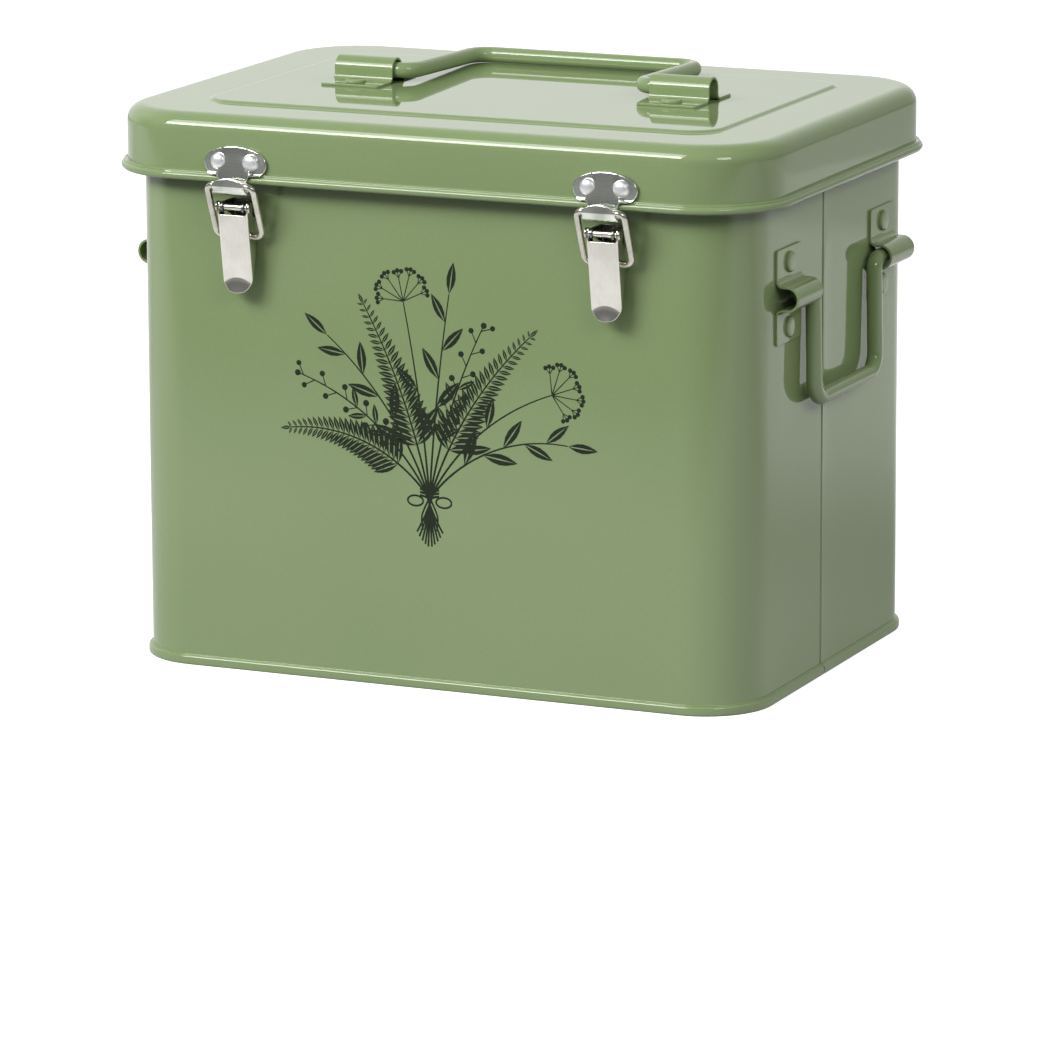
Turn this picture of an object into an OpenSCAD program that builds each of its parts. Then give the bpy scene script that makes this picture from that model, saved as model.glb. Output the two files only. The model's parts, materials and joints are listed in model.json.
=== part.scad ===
// Steel seed organizer box: a riveted, hinged lid with two draw latches,
// a folding top handle, two drop handles on the sides and loose dividers.
// Millimetres. The origin is on the floor under the middle of the box,
// the front faces -Y and +Z is up.

/* [Body] */
// Width of the body across the front
body_w = 270; // [220:1:360]
// Depth of the body from front to rear
body_d = 191; // [150:1:280]
// Radius of the upright corners of the body
corner_r = 27; // [16:1:45]
// Thickness of the steel sheet of body, base and lid
sheet_t = 1; // [0.8:0.1:1.5]
// Diameter of the curled edge round the mouth of the body
curl_d = 4; // [3:0.25:4.5]
// Distance of the lock seam from the middle of the right wall
seam_y = -12; // [-25:1:25]
// Width of the groove that the lock seam leaves
seam_w = 0.8; // [0.4:0.1:1.5]
// Depth of the groove that the lock seam leaves
seam_deep = 0.4; // [0.2:0.1:0.5]

/* [Base] */
// Height of the folded rim round the foot
rim_h = 4.5; // [4.2:0.1:8]
// How far the folded rim stands out from the wall
rim_out = 1.8; // [1.2:0.1:3]
// Height of the base plate above the floor
pan_lift = 3; // [2:0.1:3.2]

/* [Lid] */
// Height of the lower edge of the lid above the floor
lid_z = 201.5; // [185:0.5:260]
// Height of the lid from its lower edge to the flat of its top
lid_h = 26.3; // [24:0.1:40]
// Distance from the body wall to the outside of the lid skirt
lid_gap = 7; // [6:0.1:10]
// Radius of the rounded top edge of the lid
lid_edge_r = 8; // [7:0.1:10]
// Diameter of the wired bead round the lower edge of the lid
bead_d = 3.9; // [3:0.1:5]
// How far the bead stands out from the body wall
bead_out = 9.7; // [9.4:0.1:13]
// Least gap between the curled mouth and the inside of the lid
lid_seat_gap = 0.3; // [0.2:0.05:0.6]
// Width of the raised panel on the lid
panel_w = 226; // [200:1:240]
// Depth of the raised panel on the lid
panel_d = 146; // [110:1:160]
// Corner radius of the raised panel
panel_r = 15; // [8:1:25]
// Rise of the raised panel
panel_rise = 1; // [0.6:0.1:1.6]
// Width of the slope round the raised panel
panel_slope = 3; // [2:0.5:5]

/* [Handles] */
// Diameter of the handle wire
wire_d = 6; // [5:0.1:7]
// Height of each handle pivot above the surface it is riveted to
pivot_h = 5; // [4.5:0.1:7]
// Length of a handle bracket along its tunnel
bracket_w = 26; // [22:1:34]
// Length of a handle bracket across its tunnel
bracket_l = 38; // [36:1:46]
// Thickness of the bracket sheet
bracket_t = 1; // [0.8:0.1:1.2]
// Corner radius of the bracket feet
bracket_r = 2.5; // [1:0.5:4]
// Inner radius of the bends at the foot of the tunnel
bracket_bend = 2; // [1:0.1:2.5]
// Distance between the two rivets of a bracket
bracket_pitch = 26; // [25:0.5:28]
// Length of wire that lies in each bracket
foot_l = 20; // [14:1:21]
// Half the distance between the arms of the top handle
top_arm_x = 50.5; // [38:0.5:56]
// Reach of the top handle from its pivot to its bar
top_reach = 65; // [45:1:66]
// Bend radius where the top handle turns into its brackets
top_foot_bend = 6.5; // [5:0.5:9]
// Bend radius at the grip bar of the top handle
top_bar_bend = 9; // [6:0.5:14]
// Half the distance between the arms of a side handle
side_arm_y = 33.8; // [28:0.1:40]
// Drop of a side handle from its pivot to its bar
side_reach = 45.5; // [36:0.5:60]
// Bend radius where a side handle turns into its brackets
side_foot_bend = 4.5; // [4:0.1:6]
// Bend radius at the grip bar of a side handle
side_bar_bend = 8; // [5:0.5:12]
// Distance of the side handles from the middle of the side walls
side_handle_y = 1; // [-6:0.5:6]
// Height of the side handle pivots above the floor
side_handle_z = 163; // [140:1:168]

/* [Rivets] */
// Head diameter of the handle rivets
rivet_head_d = 8.5; // [6:0.1:9]
// Head height of the handle rivets
rivet_head_h = 1.5; // [1:0.1:2]
// Shank diameter of the handle rivets
rivet_d = 3.6; // [3:0.1:4]
// Head diameter of the latch and hinge rivets
small_head_d = 6.2; // [5:0.1:6.6]
// Head height of the latch and hinge rivets
small_head_h = 2; // [1:0.1:2.2]
// Shank diameter of the latch and hinge rivets
small_d = 3; // [2.5:0.1:3.4]
// Height of the upset rivet ends inside the box
tail_h = 0.8; // [0.5:0.1:1]

/* [Latches] */
// Distance of each latch from the middle of the front
latch_x = 80; // [60:1:95]
// Thickness of the keeper strap
keeper_t = 1.2; // [1:0.1:1.5]
// Width of the keeper plate
keeper_w = 27.6; // [25:0.1:32]
// Height of the rounded ends of the keeper plate
keeper_end = 10; // [9:0.1:11]
// Rise of the crowned top of the keeper plate
keeper_crown = 1.6; // [1:0.1:2.5]
// Distance between the two rivets of a keeper
keeper_pitch = 14; // [13:0.1:17]
// Width of the keeper strap at its neck
neck_w = 12.5; // [11:0.1:13.5]
// Width of the keeper strap at its hook
hook_w = 15.4; // [13.6:0.1:15.6]
// Width of the lip of the hook
lip_w = 14; // [12:0.1:15]
// Height of the lip above the middle of the hook
lip_h = 2.3; // [1.6:0.1:2.6]
// Inner radius of the hook
hook_r = 2.6; // [2.4:0.1:3]
// Diameter of the wire loop
loop_d = 2.5; // [2.2:0.1:2.7]
// Half the width of the wire loop, to the wire's middle
loop_x = 10.1; // [10:0.1:12]
// Bend radius of the top corners of the wire loop
loop_bend = 2.8; // [2.4:0.1:3]
// Bend radius of the foot of the wire loop
loop_foot_bend = 3; // [2:0.1:3.4]
// Outer width of the lever
lever_w = 12.4; // [12:0.1:13]
// Thickness of the lever sheet
lever_t = 0.8; // [0.6:0.1:1]
// Length of the lever from its pin to the end of its channel
lever_l = 30.5; // [26:0.5:40]
// Length of the thumb tip below the channel
tip_l = 5.5; // [4:0.5:9]
// Lean of the closed lever towards the wall
lever_lean = 8.75; // [6:0.25:10]
// Diameter of the lever pin
pin_d = 2.8; // [2.4:0.1:3]
// Distance of the lever pin from the body wall
pin_out = 10; // [9.6:0.1:11]
// Drop of the lever pin below the lower edge of the lid
pin_drop = 9.5; // [8.5:0.1:12]
// Drop of the loop's foot below the pin, along the lever
loop_drop = 13.06; // [11:0.01:15]
// Setback of the loop's foot behind the pin, towards the wall
loop_setback = 3.35; // [3:0.01:3.6]

/* [Hinges] */
// Distance of each hinge from the middle of the rear
hinge_x = 80; // [50:1:90]
// Width of a hinge
hinge_w = 32; // [26:1:45]
// Thickness of the hinge sheet
hinge_t = 1.2; // [1:0.1:1.4]
// Outer diameter of the hinge knuckles
knuckle_d = 6; // [5.6:0.1:6.4]
// Diameter of the hinge pins
hinge_pin_d = 3; // [2.4:0.1:3.2]
// Width of the middle knuckle
knuckle_w = 13; // [9:0.5:16]
// Length of the hinge leaf on the body
leaf_drop = 28; // [22:1:45]
// Distance between the two rivets of a hinge leaf
hinge_pitch = 18; // [14:1:22]

/* [Dividers] */
// Height of the dividers
divider_h = 130; // [90:1:160]
// Thickness of the divider sheet
divider_t = 1; // [0.8:0.1:1.5]
// Spacing of the cross dividers
divider_pitch = 67; // [50:1:75]
// Gap between a divider and the wall at each end
divider_gap = 0.5; // [0.3:0.1:1]

/* [Hidden] */
// Clearances: a fixed joint, a turning joint, a sliding joint, loose metal
fixed_fit = 0.02;
turn_fit = 0.05;
slide_fit = 0.15;
strap_gap = 0.2;
side_gap = 0.3;
// Reach of a profile or a hole that only has to pass right through
through = 40;

paint = "#83976a";
steel = "#c9c7bf";

// Curled mouth: its circle laps the inside of the wall a little
curl_lap = 0.15;
curl_u = curl_d / 2 - sheet_t - curl_lap;
lid_bend_r = lid_edge_r - sheet_t;
lid_bend_u = lid_gap - lid_edge_r;
lid_top = lid_z + lid_h;
panel_top = lid_top + panel_rise;
lid_bend_z = lid_top - lid_edge_r;
curl_reach = lid_bend_r - curl_d / 2 - lid_seat_gap;
curl_z = lid_bend_z + sqrt(pow(curl_reach, 2) - pow(curl_u - lid_bend_u, 2));
groove_z = 1.2;
rim_in = 3;
seam_start = 2;
pan_top = pan_lift + sheet_t;

// Handles
tunnel_r = wire_d / 2 + turn_fit;
tunnel_out = tunnel_r + bracket_t;
tail_over = 2;
grip_max = 8;
bracket_half = bracket_w / 2;
top_bracket_x = top_arm_x + top_foot_bend + bracket_half;
side_bracket_y = side_arm_y + side_foot_bend + bracket_half;
top_foot_x = top_arm_x + top_foot_bend + foot_l;
side_foot_y = side_arm_y + side_foot_bend + foot_l;
rest_gap = 0.3;
top_tilt = asin((pivot_h - wire_d / 2 - rest_gap) / top_reach);
side_bracket_ys = [side_handle_y - side_bracket_y, side_handle_y + side_bracket_y];

// Latches, in the plane across the front: [distance from the wall, height]
bead_r = bead_d / 2;
bead_top = lid_z + bead_d;
joggle_rise = 2;
joggle_drop = 1.2;
joggle_shift = 0.3;
joggle_top = bead_top + joggle_rise;
joggle_foot = bead_top - joggle_drop;
strap_in = bead_out + strap_gap;
strap_out = strap_in + keeper_t;
hook_lift = 0.7;
hook_slack = 0.25;
hook_out = hook_r + keeper_t;
hook_mid = [strap_out + hook_r, lid_z + hook_lift];
lip_in = hook_mid[0] + hook_r;
lip_crown = 2.7;
keeper_z = bead_top + strap_gap + keeper_end / 2;
keeper_top = keeper_z + keeper_end / 2 + keeper_crown;
keeper_end_x = (keeper_w - keeper_end) / 2;
keeper_rivet_lift = 0.3;
keeper_rivet_z = keeper_z + keeper_rivet_lift;
neck_drop = 0.6;
flare_drop = 2;
flare_h = 3;
loop_head = [hook_mid[0] - 0.1, hook_mid[1] - (hook_r - loop_d / 2 - hook_slack)];
pin = [pin_out, lid_z - pin_drop];
lever_out = [cos(lever_lean), -sin(lever_lean)];
lever_up = [sin(lever_lean), cos(lever_lean)];
loop_foot = pin - lever_out * loop_setback - lever_up * loop_drop;
loop_run = norm(loop_head - loop_foot);
loop_lean = atan2(loop_head[0] - loop_foot[0], loop_head[1] - loop_foot[1]);
lever_face = 2.2;
lever_half = lever_w / 2;
lever_in = lever_half - lever_t;
web_top = 2.7;
lobe_r = 2.3;
tip_out = 2.4;
tip_root = 2;
ear_t = 1;
ear_wall = 0.8;
ear_root = 5;
ear_half = lever_in - side_gap;
base_t = 1;
base_foot = 26;
base_rise = 2.4;
base_corner_r = 0.8;
base_rivet_drop = 8;
base_rivet_pitch = 13;
base_rivets = [pin[1] - base_rivet_drop, pin[1] - base_rivet_drop - base_rivet_pitch];
flat_head_h = 0.8;
flat_head_d = 5;
pin_head_t = 0.9;
pin_head_d = pin_d + 1.6;

// Hinges, in the plane across the rear: [distance from the wall, height]
knuckle_r = knuckle_d / 2;
knuckle_lap = 0.1;
knuckle_drop = 0.5;
hinge_axis = [strap_in + knuckle_r - knuckle_lap, lid_z - knuckle_drop - knuckle_r];
leaf_top = hinge_axis[1] - knuckle_r + knuckle_lap + hinge_t;
leaf_corner_r = 2;
leaf_lift = 2.4;
leaf_over = 5.4;
lid_leaf_z = keeper_z + leaf_lift;
lid_leaf_top = lid_leaf_z + leaf_over;
body_leaf_z = leaf_top - leaf_drop / 2;
hinge_pin_head_t = 1;
hinge_pin_head_d = hinge_pin_d + 1.4;

// Dividers
inner_half_w = body_w / 2 - sheet_t;
inner_half_d = body_d / 2 - sheet_t;
cross_xs = [-divider_pitch, 0, divider_pitch];

$fn = 64;

// Places: local X and Y lie on the wall, local Z points out of it
module at_front(x, z) {
    translate([x, -body_d / 2, z]) rotate([90, 0, 0]) children();
}

module at_rear(x, z) {
    translate([x, body_d / 2, z]) rotate([90, 0, 180]) children();
}

module at_right(y, z) {
    translate([body_w / 2, y, z]) rotate([90, 0, 90]) children();
}

module at_left(y, z) {
    mirror([1, 0, 0]) at_right(y, z) children();
}

module at_top(x, y) {
    translate([x, y, panel_top]) children();
}

// A profile of [distance from the front wall, height], w wide along X
module front_slice(x, w) {
    translate([x, -body_d / 2, 0]) rotate([90, 0, -90]) linear_extrude(w, center = true) children();
}

// The same behind the rear wall
module rear_slice(x, w) {
    translate([x, body_d / 2, 0]) rotate([90, 0, 90]) linear_extrude(w, center = true) children();
}

// Rounded rectangle with exact corners
module plate2(w, d, r) {
    square([w - 2 * r, d], center = true);
    square([w, d - 2 * r], center = true);
    for (x = [-1, 1])
        for (y = [-1, 1])
            translate([x * (w / 2 - r), y * (d / 2 - r)]) circle(r);
}

// Outline of the box, moved outwards by out
module box2(out) {
    plate2(body_w + 2 * out, body_d + 2 * out, corner_r + out);
}

// Carries a profile of [distance outwards, height] round a rounded rectangle
module round_sweep(w, d, r) {
    for (side = [-1, 1]) {
        translate([0, side * d / 2, 0]) rotate([90, 0, side * 90])
            linear_extrude(w - 2 * r, center = true) children();
        translate([side * w / 2, 0, 0]) rotate([90, 0, side < 0 ? 180 : 0])
            linear_extrude(d - 2 * r, center = true) children();
    }
    for (quarter = [0 : 3])
        translate([(quarter == 0 || quarter == 3 ? 1 : -1) * (w / 2 - r),
                (quarter < 2 ? 1 : -1) * (d / 2 - r), 0])
            rotate(90 * quarter) rotate_extrude(angle = 90) translate([r, 0]) children();
}

module box_sweep() {
    round_sweep(body_w, body_d, corner_r) children();
}

function unit(v) = v / norm(v);
function turn(a, b) = atan2(a[0] * b[1] - a[1] * b[0], a * b);

// Round wire along straight runs in the XY plane, with a bend radius at each corner
module wire(points, bends, d) {
    last = len(points) - 1;
    ways = [for (i = [0 : last - 1]) unit(points[i + 1] - points[i])];
    turns = [for (i = [1 : last - 1]) turn(ways[i - 1], ways[i])];
    corner_cuts = [for (i = [0 : last - 2]) bends[i] * tan(abs(turns[i]) / 2)];
    cuts = concat([0], corner_cuts, [0]);
    for (i = [0 : last - 1]) {
        start = points[i] + ways[i] * cuts[i];
        run = norm(points[i + 1] - points[i]) - cuts[i] - cuts[i + 1];
        translate([start[0], start[1], 0]) rotate(atan2(ways[i][1], ways[i][0])) rotate([0, 90, 0])
            cylinder(h = run, d = d);
    }
    for (i = [1 : last - 1]) {
        angle = turns[i - 1];
        way = ways[i - 1];
        hub = points[i] - way * cuts[i] + sign(angle) * bends[i - 1] * [-way[1], way[0]];
        heading = atan2(way[1], way[0]);
        translate([hub[0], hub[1], 0]) rotate(angle > 0 ? heading - 90 : heading + 90 + angle)
            rotate_extrude(angle = abs(angle)) translate([bends[i - 1], 0]) circle(d = d);
    }
}

// Spherical cap standing on the XY plane
module dome(d, h) {
    ball_r = (pow(d / 2, 2) + h * h) / (2 * h);
    intersection() {
        translate([0, 0, h - ball_r]) sphere(ball_r);
        cylinder(h = h + 1, d = d + 1);
    }
}

// Rivet with its head on the XY plane and its shank down through the grip
module rivet(head_d, head_h, shank_d, grip) {
    dome(head_d, head_h);
    translate([0, 0, -grip - tail_h]) {
        cylinder(h = grip + tail_h, d = shank_d);
        cylinder(h = tail_h, d = shank_d + tail_over);
    }
}

// Hole for a rivet through the sheets near the XY plane
module rivet_hole(shank_d) {
    cylinder(h = 2 * grip_max, d = shank_d + 2 * fixed_fit, center = true);
}

module bracket_rivet_places() {
    for (side = [-1, 1])
        translate([0, side * bracket_pitch / 2, 0]) children();
}

module side_bracket_places() {
    for (y = side_bracket_ys) {
        at_right(y, side_handle_z) children();
        at_left(y, side_handle_z) children();
    }
}

module top_bracket_places() {
    for (side = [-1, 1])
        at_top(side * top_bracket_x, 0) children();
}

// Places of the keeper rivets on the lid and of the base rivets on the body
module keeper_rivet_places() {
    for (side = [-1, 1])
        for (pitch = [-1, 1])
            at_front(side * latch_x + pitch * keeper_pitch / 2, keeper_rivet_z) children();
}

module base_rivet_places() {
    for (side = [-1, 1])
        for (z = base_rivets)
            at_front(side * latch_x, z) children();
}

module hinge_rivet_places(z) {
    for (side = [-1, 1])
        for (pitch = [-1, 1])
            at_rear(side * hinge_x + pitch * hinge_pitch / 2, z) children();
}

// Body wall with its curled mouth, lock seam and rivet holes
module body_shell() {
    color(paint) difference() {
        union() {
            translate([0, 0, groove_z]) linear_extrude(curl_z - groove_z) difference() {
                box2(0);
                box2(-sheet_t);
            }
            box_sweep() translate([curl_u, curl_z]) circle(d = curl_d);
        }
        at_right(seam_y, rim_h + seam_start) translate([-seam_w / 2, 0, -seam_deep])
            cube([seam_w, curl_z - curl_d - rim_h, seam_deep + 1]);
        side_bracket_places() bracket_rivet_places() rivet_hole(rivet_d);
        base_rivet_places() rivet_hole(small_d);
        hinge_rivet_places(body_leaf_z) rivet_hole(small_d);
    }
}

// Pressed base, folded round the foot of the wall
module base_pan() {
    rim_r = rim_out / 2;
    color(paint) {
        box_sweep() difference() {
            union() {
                translate([-rim_in, 0]) square([rim_in + rim_r, rim_h]);
                translate([rim_r, rim_r]) square([rim_r, rim_h - rim_out]);
                translate([rim_r, rim_r]) circle(rim_r);
                translate([rim_r, rim_h - rim_r]) circle(rim_r);
            }
            translate([-sheet_t - fixed_fit, groove_z - fixed_fit])
                square([sheet_t + 2 * fixed_fit, rim_h]);
        }
        translate([0, 0, pan_lift]) linear_extrude(sheet_t) box2(-rim_in);
    }
}

// Lid with a wired bead, rounded top edge and raised panel
module lid_shell() {
    flat_w = body_w + 2 * lid_bend_u;
    flat_d = body_d + 2 * lid_bend_u;
    color(paint) difference() {
        union() {
            box_sweep() {
                translate([bead_out - bead_r, lid_z + bead_r]) circle(bead_r);
                translate([lid_gap - sheet_t, lid_z + bead_r])
                    square([sheet_t, lid_bend_z - lid_z - bead_r]);
                translate([lid_bend_u, lid_bend_z]) intersection() {
                    difference() {
                        circle(lid_edge_r);
                        circle(lid_bend_r);
                    }
                    square(lid_edge_r + 1);
                }
            }
            translate([0, 0, lid_top - sheet_t]) linear_extrude(sheet_t) difference() {
                plate2(flat_w, flat_d, corner_r + lid_bend_u);
                plate2(panel_w, panel_d, panel_r);
            }
            translate([0, 0, lid_top]) round_sweep(panel_w, panel_d, panel_r)
                polygon([[0, 0], [-panel_slope, panel_rise],
                    [-panel_slope, panel_rise - sheet_t], [0, -sheet_t]]);
            translate([0, 0, panel_top - sheet_t]) linear_extrude(sheet_t)
                plate2(panel_w - 2 * panel_slope, panel_d - 2 * panel_slope, panel_r - panel_slope);
        }
        top_bracket_places() bracket_rivet_places() rivet_hole(rivet_d);
        keeper_rivet_places() rivet_hole(small_d);
        hinge_rivet_places(lid_leaf_z) rivet_hole(small_d);
    }
}

// Upright partition from wall to wall, slotted from above for the cross dividers
module long_divider() {
    half = inner_half_w - divider_gap;
    slot_w = divider_t + 2 * slide_fit;
    color(paint) difference() {
        translate([-half, -divider_t / 2, pan_top]) cube([2 * half, divider_t, divider_h]);
        for (x = cross_xs)
            translate([x - slot_w / 2, -divider_t, pan_top + divider_h / 2 - slide_fit])
                cube([slot_w, 2 * divider_t, divider_h]);
    }
}

// Upright partition from front to rear, slotted from below over the long divider
module cross_divider(x) {
    half = inner_half_d - divider_gap;
    slot_w = divider_t + 2 * slide_fit;
    color(paint) difference() {
        translate([x - divider_t / 2, -half, pan_top]) cube([divider_t, 2 * half, divider_h]);
        translate([x - divider_t, -slot_w / 2, pan_top - 1])
            cube([2 * divider_t, slot_w, divider_h / 2 + slide_fit + 1]);
    }
}

// Side view of a strap that steps over the lid bead, from its top down to foot_z
module joggle2(t, top_z, foot_z) {
    polygon([[lid_gap, top_z], [lid_gap, joggle_top], [strap_in, joggle_foot], [strap_in, foot_z],
        [strap_in + t, foot_z], [strap_in + t, joggle_foot + joggle_shift],
        [lid_gap + t, joggle_top + joggle_shift], [lid_gap + t, top_z]]);
}

// Front view of the keeper plate and its neck
module keeper_front2() {
    crown_r = (pow(keeper_end_x, 2) + pow(keeper_crown, 2)) / (2 * keeper_crown);
    for (side = [-1, 1])
        translate([side * keeper_end_x, keeper_z]) circle(keeper_end / 2);
    translate([-keeper_end_x, keeper_z - 1]) square([2 * keeper_end_x, keeper_end / 2 + 1]);
    intersection() {
        translate([0, keeper_top - crown_r]) circle(crown_r);
        translate([-keeper_end_x, keeper_z]) square([2 * keeper_end_x, keeper_end]);
    }
    neck_z = bead_top - neck_drop;
    flare_z = hook_mid[1] - flare_drop;
    polygon([[-neck_w / 2, keeper_z], [-neck_w / 2, neck_z], [-hook_w / 2, flare_z],
        [-hook_w / 2, flare_z - flare_h], [hook_w / 2, flare_z - flare_h], [hook_w / 2, flare_z],
        [neck_w / 2, neck_z], [neck_w / 2, keeper_z]]);
}

// Front view of the hook's lip, with a crowned top
module lip_front2() {
    crown_r = (pow(lip_w / 2, 2) + pow(lip_crown, 2)) / (2 * lip_crown);
    intersection() {
        translate([0, hook_mid[1] + lip_h - crown_r]) circle(crown_r);
        translate([-lip_w / 2, hook_mid[1] - hook_out]) square([lip_w, through]);
    }
}

// Keeper: a plate on the lid skirt that ends in a hook for the wire loop
module keeper(x) {
    color(steel) difference() {
        union() {
            intersection() {
                front_slice(x, keeper_w + 2) {
                    joggle2(keeper_t, keeper_top + 1, hook_mid[1]);
                    translate(hook_mid) intersection() {
                        difference() {
                            circle(hook_out);
                            circle(hook_r);
                        }
                        translate([-hook_out - 1, -hook_out - 1]) square(hook_out + 1);
                    }
                }
                at_front(x, 0) linear_extrude(through) keeper_front2();
            }
            intersection() {
                front_slice(x, lip_w + 2) {
                    translate(hook_mid) intersection() {
                        difference() {
                            circle(hook_out);
                            circle(hook_r);
                        }
                        translate([0, -hook_out - 1]) square(hook_out + 1);
                    }
                    translate([lip_in, hook_mid[1]]) square([keeper_t, lip_h + 1]);
                }
                at_front(x, 0) linear_extrude(through) lip_front2();
            }
        }
        for (side = [-1, 1])
            at_front(x + side * keeper_pitch / 2, keeper_rivet_z) translate([0, 0, lid_gap])
                rivet_hole(small_d);
    }
}

module keeper_rivets() {
    color(steel) keeper_rivet_places() translate([0, 0, lid_gap + keeper_t])
        rivet(small_head_d, small_head_h, small_d, keeper_t + sheet_t);
}

// Latch base: a riveted plate with two ears for the lever pin
module latch_base(x) {
    plate_top = pin[1] + base_rise;
    plate_foot = plate_top - base_foot;
    ear_r = pin_d / 2 + ear_wall;
    ear_top = pin[1] + ear_r - 0.5;
    color(steel) difference() {
        union() {
            at_front(x, (plate_top + plate_foot) / 2) linear_extrude(base_t)
                plate2(2 * ear_half, base_foot, base_corner_r);
            for (side = [-1, 1])
                front_slice(x + side * (ear_half - ear_t / 2), ear_t) {
                    polygon([[0, pin[1] - ear_root], [base_t, pin[1] - ear_root],
                        [pin[0], pin[1] - ear_r], [pin[0], pin[1] + ear_r], [base_t, ear_top],
                        [0, ear_top]]);
                    translate(pin) circle(ear_r);
                }
        }
        front_slice(x, lever_w) translate(pin) circle(d = pin_d + 2 * fixed_fit);
        for (z = base_rivets)
            at_front(x, z) rivet_hole(small_d);
    }
}

module latch_base_rivets() {
    color(steel) base_rivet_places() translate([0, 0, base_t])
        rivet(flat_head_d, flat_head_h, small_d, base_t + sheet_t);
}

// Headed pin through the ears and the lever
module latch_pin(x) {
    half = lever_half + side_gap;
    color(steel) {
        front_slice(x, 2 * half) translate(pin) circle(d = pin_d);
        for (side = [-1, 1])
            front_slice(x + side * (half + pin_head_t / 2), pin_head_t)
                translate(pin) circle(d = pin_head_d);
    }
}

// Lever: a channel on the pin, with a turned-up thumb tip
module latch_lever(x) {
    tip_r = lever_half;
    tip_z = -lever_l - tip_l + tip_r;
    color(steel) difference() {
        union() {
            front_slice(x, lever_w) lever_frame()
                translate([lever_face - lever_t, -lever_l]) square([lever_t, lever_l - web_top]);
            intersection() {
                front_slice(x, lever_w) lever_frame() polygon([[lever_face, -lever_l],
                    [lever_face - lever_t, -lever_l], [lever_face - lever_t, -lever_l - tip_root],
                    [lever_face + tip_out - lever_t, -lever_l - tip_l - 1],
                    [lever_face + tip_out, -lever_l - tip_l - 1], [lever_face, -lever_l - tip_root]]);
                at_front(x, pin[1]) linear_extrude(through) {
                    translate([0, tip_z]) circle(tip_r);
                    translate([-tip_r, tip_z]) square([2 * tip_r, lever_l]);
                }
            }
            for (side = [-1, 1])
                front_slice(x + side * (lever_half - lever_t / 2), lever_t) lever_frame() {
                    circle(lever_face);
                    translate([-loop_setback, -loop_drop]) circle(lobe_r);
                    polygon([[lever_face, 0], [lever_face, -lever_l],
                        [lever_face - lever_t - 0.4, -lever_l], [-1.2, -lever_l + 5],
                        [-loop_setback - 0.9, -loop_drop - 2.1], [-loop_setback - lobe_r, -loop_drop],
                        [-lever_face, 0]]);
                }
        }
        front_slice(x, lever_w + 2) lever_frame() {
            circle(d = pin_d + 2 * turn_fit);
            translate([-loop_setback, -loop_drop]) circle(d = loop_d + 2 * turn_fit);
        }
    }
}

// Turns a profile drawn round the pin to the closed lever's lean
module lever_frame() {
    translate(pin) rotate(-lever_lean) children();
}

// Wire loop from the lever up into the hook
module latch_loop(x) {
    end_x = lever_in - side_gap - 0.5;
    color(steel) at_front(x, loop_foot[1]) translate([0, 0, loop_foot[0]]) rotate([loop_lean, 0, 0])
        wire([[-end_x, 0], [-loop_x, 0], [-loop_x, loop_run], [loop_x, loop_run],
            [loop_x, 0], [end_x, 0]],
            [loop_foot_bend, loop_bend, loop_bend, loop_foot_bend], loop_d);
}

// Bracket: a strap bent into a tunnel for the handle wire, with two riveted feet
module bracket() {
    flare_x = tunnel_out + bracket_bend;
    bend_out = bracket_bend + bracket_t;
    difference() {
        intersection() {
            rotate([90, 0, 90]) linear_extrude(bracket_w, center = true) difference() {
                union() {
                    translate([0, bracket_t / 2]) square([bracket_l, bracket_t], center = true);
                    translate([0, pivot_h]) circle(tunnel_out);
                    translate([-tunnel_out, 0]) square([2 * tunnel_out, pivot_h]);
                    for (side = [-1, 1])
                        difference() {
                            translate([side * (flare_x + tunnel_out) / 2, bend_out / 2])
                                square([bracket_bend, bend_out], center = true);
                            translate([side * flare_x, bend_out]) circle(bracket_bend);
                        }
                }
                translate([0, pivot_h]) circle(tunnel_r);
                translate([-tunnel_r, -1]) square([2 * tunnel_r, pivot_h + 1]);
                for (side = [-1, 1])
                    difference() {
                        translate([side * (flare_x + tunnel_r) / 2, bend_out / 2 - 1])
                            square([flare_x - tunnel_r, bend_out + 2], center = true);
                        translate([side * flare_x, bend_out]) circle(bend_out);
                        translate([side * (flare_x + 5), bend_out]) square(10, center = true);
                    }
            }
            linear_extrude(pivot_h + tunnel_out + 1) plate2(bracket_w, bracket_l, bracket_r);
        }
        bracket_rivet_places() rivet_hole(rivet_d);
    }
}

module bracket_rivet() {
    translate([0, 0, bracket_t]) rivet(rivet_head_d, rivet_head_h, rivet_d, bracket_t + sheet_t);
}

module top_bracket(side) {
    color(paint) at_top(side * top_bracket_x, 0) bracket();
}

module top_bracket_rivets() {
    color(paint) top_bracket_places() bracket_rivet_places() bracket_rivet();
}

// Folding handle, lying back on the lid
module top_handle() {
    color(paint) at_top(0, 0) translate([0, 0, pivot_h]) rotate([-top_tilt, 0, 0])
        wire([[-top_foot_x, 0], [-top_arm_x, 0], [-top_arm_x, top_reach], [top_arm_x, top_reach],
            [top_arm_x, 0], [top_foot_x, 0]],
            [top_foot_bend, top_bar_bend, top_bar_bend, top_foot_bend], wire_d);
}

module side_bracket(side, y) {
    color(paint) {
        if (side > 0) at_right(y, side_handle_z) bracket();
        if (side < 0) at_left(y, side_handle_z) bracket();
    }
}

module side_bracket_rivets() {
    color(paint) side_bracket_places() bracket_rivet_places() bracket_rivet();
}

// Drop handle, hanging straight down
module drop_handle() {
    translate([0, 0, pivot_h])
        wire([[-side_foot_y, 0], [-side_arm_y, 0], [-side_arm_y, -side_reach],
            [side_arm_y, -side_reach], [side_arm_y, 0], [side_foot_y, 0]],
            [side_foot_bend, side_bar_bend, side_bar_bend, side_foot_bend], wire_d);
}

module side_handle_left() {
    color(paint) at_left(side_handle_y, side_handle_z) drop_handle();
}

module side_handle_right() {
    color(paint) at_right(side_handle_y, side_handle_z) drop_handle();
}

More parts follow.
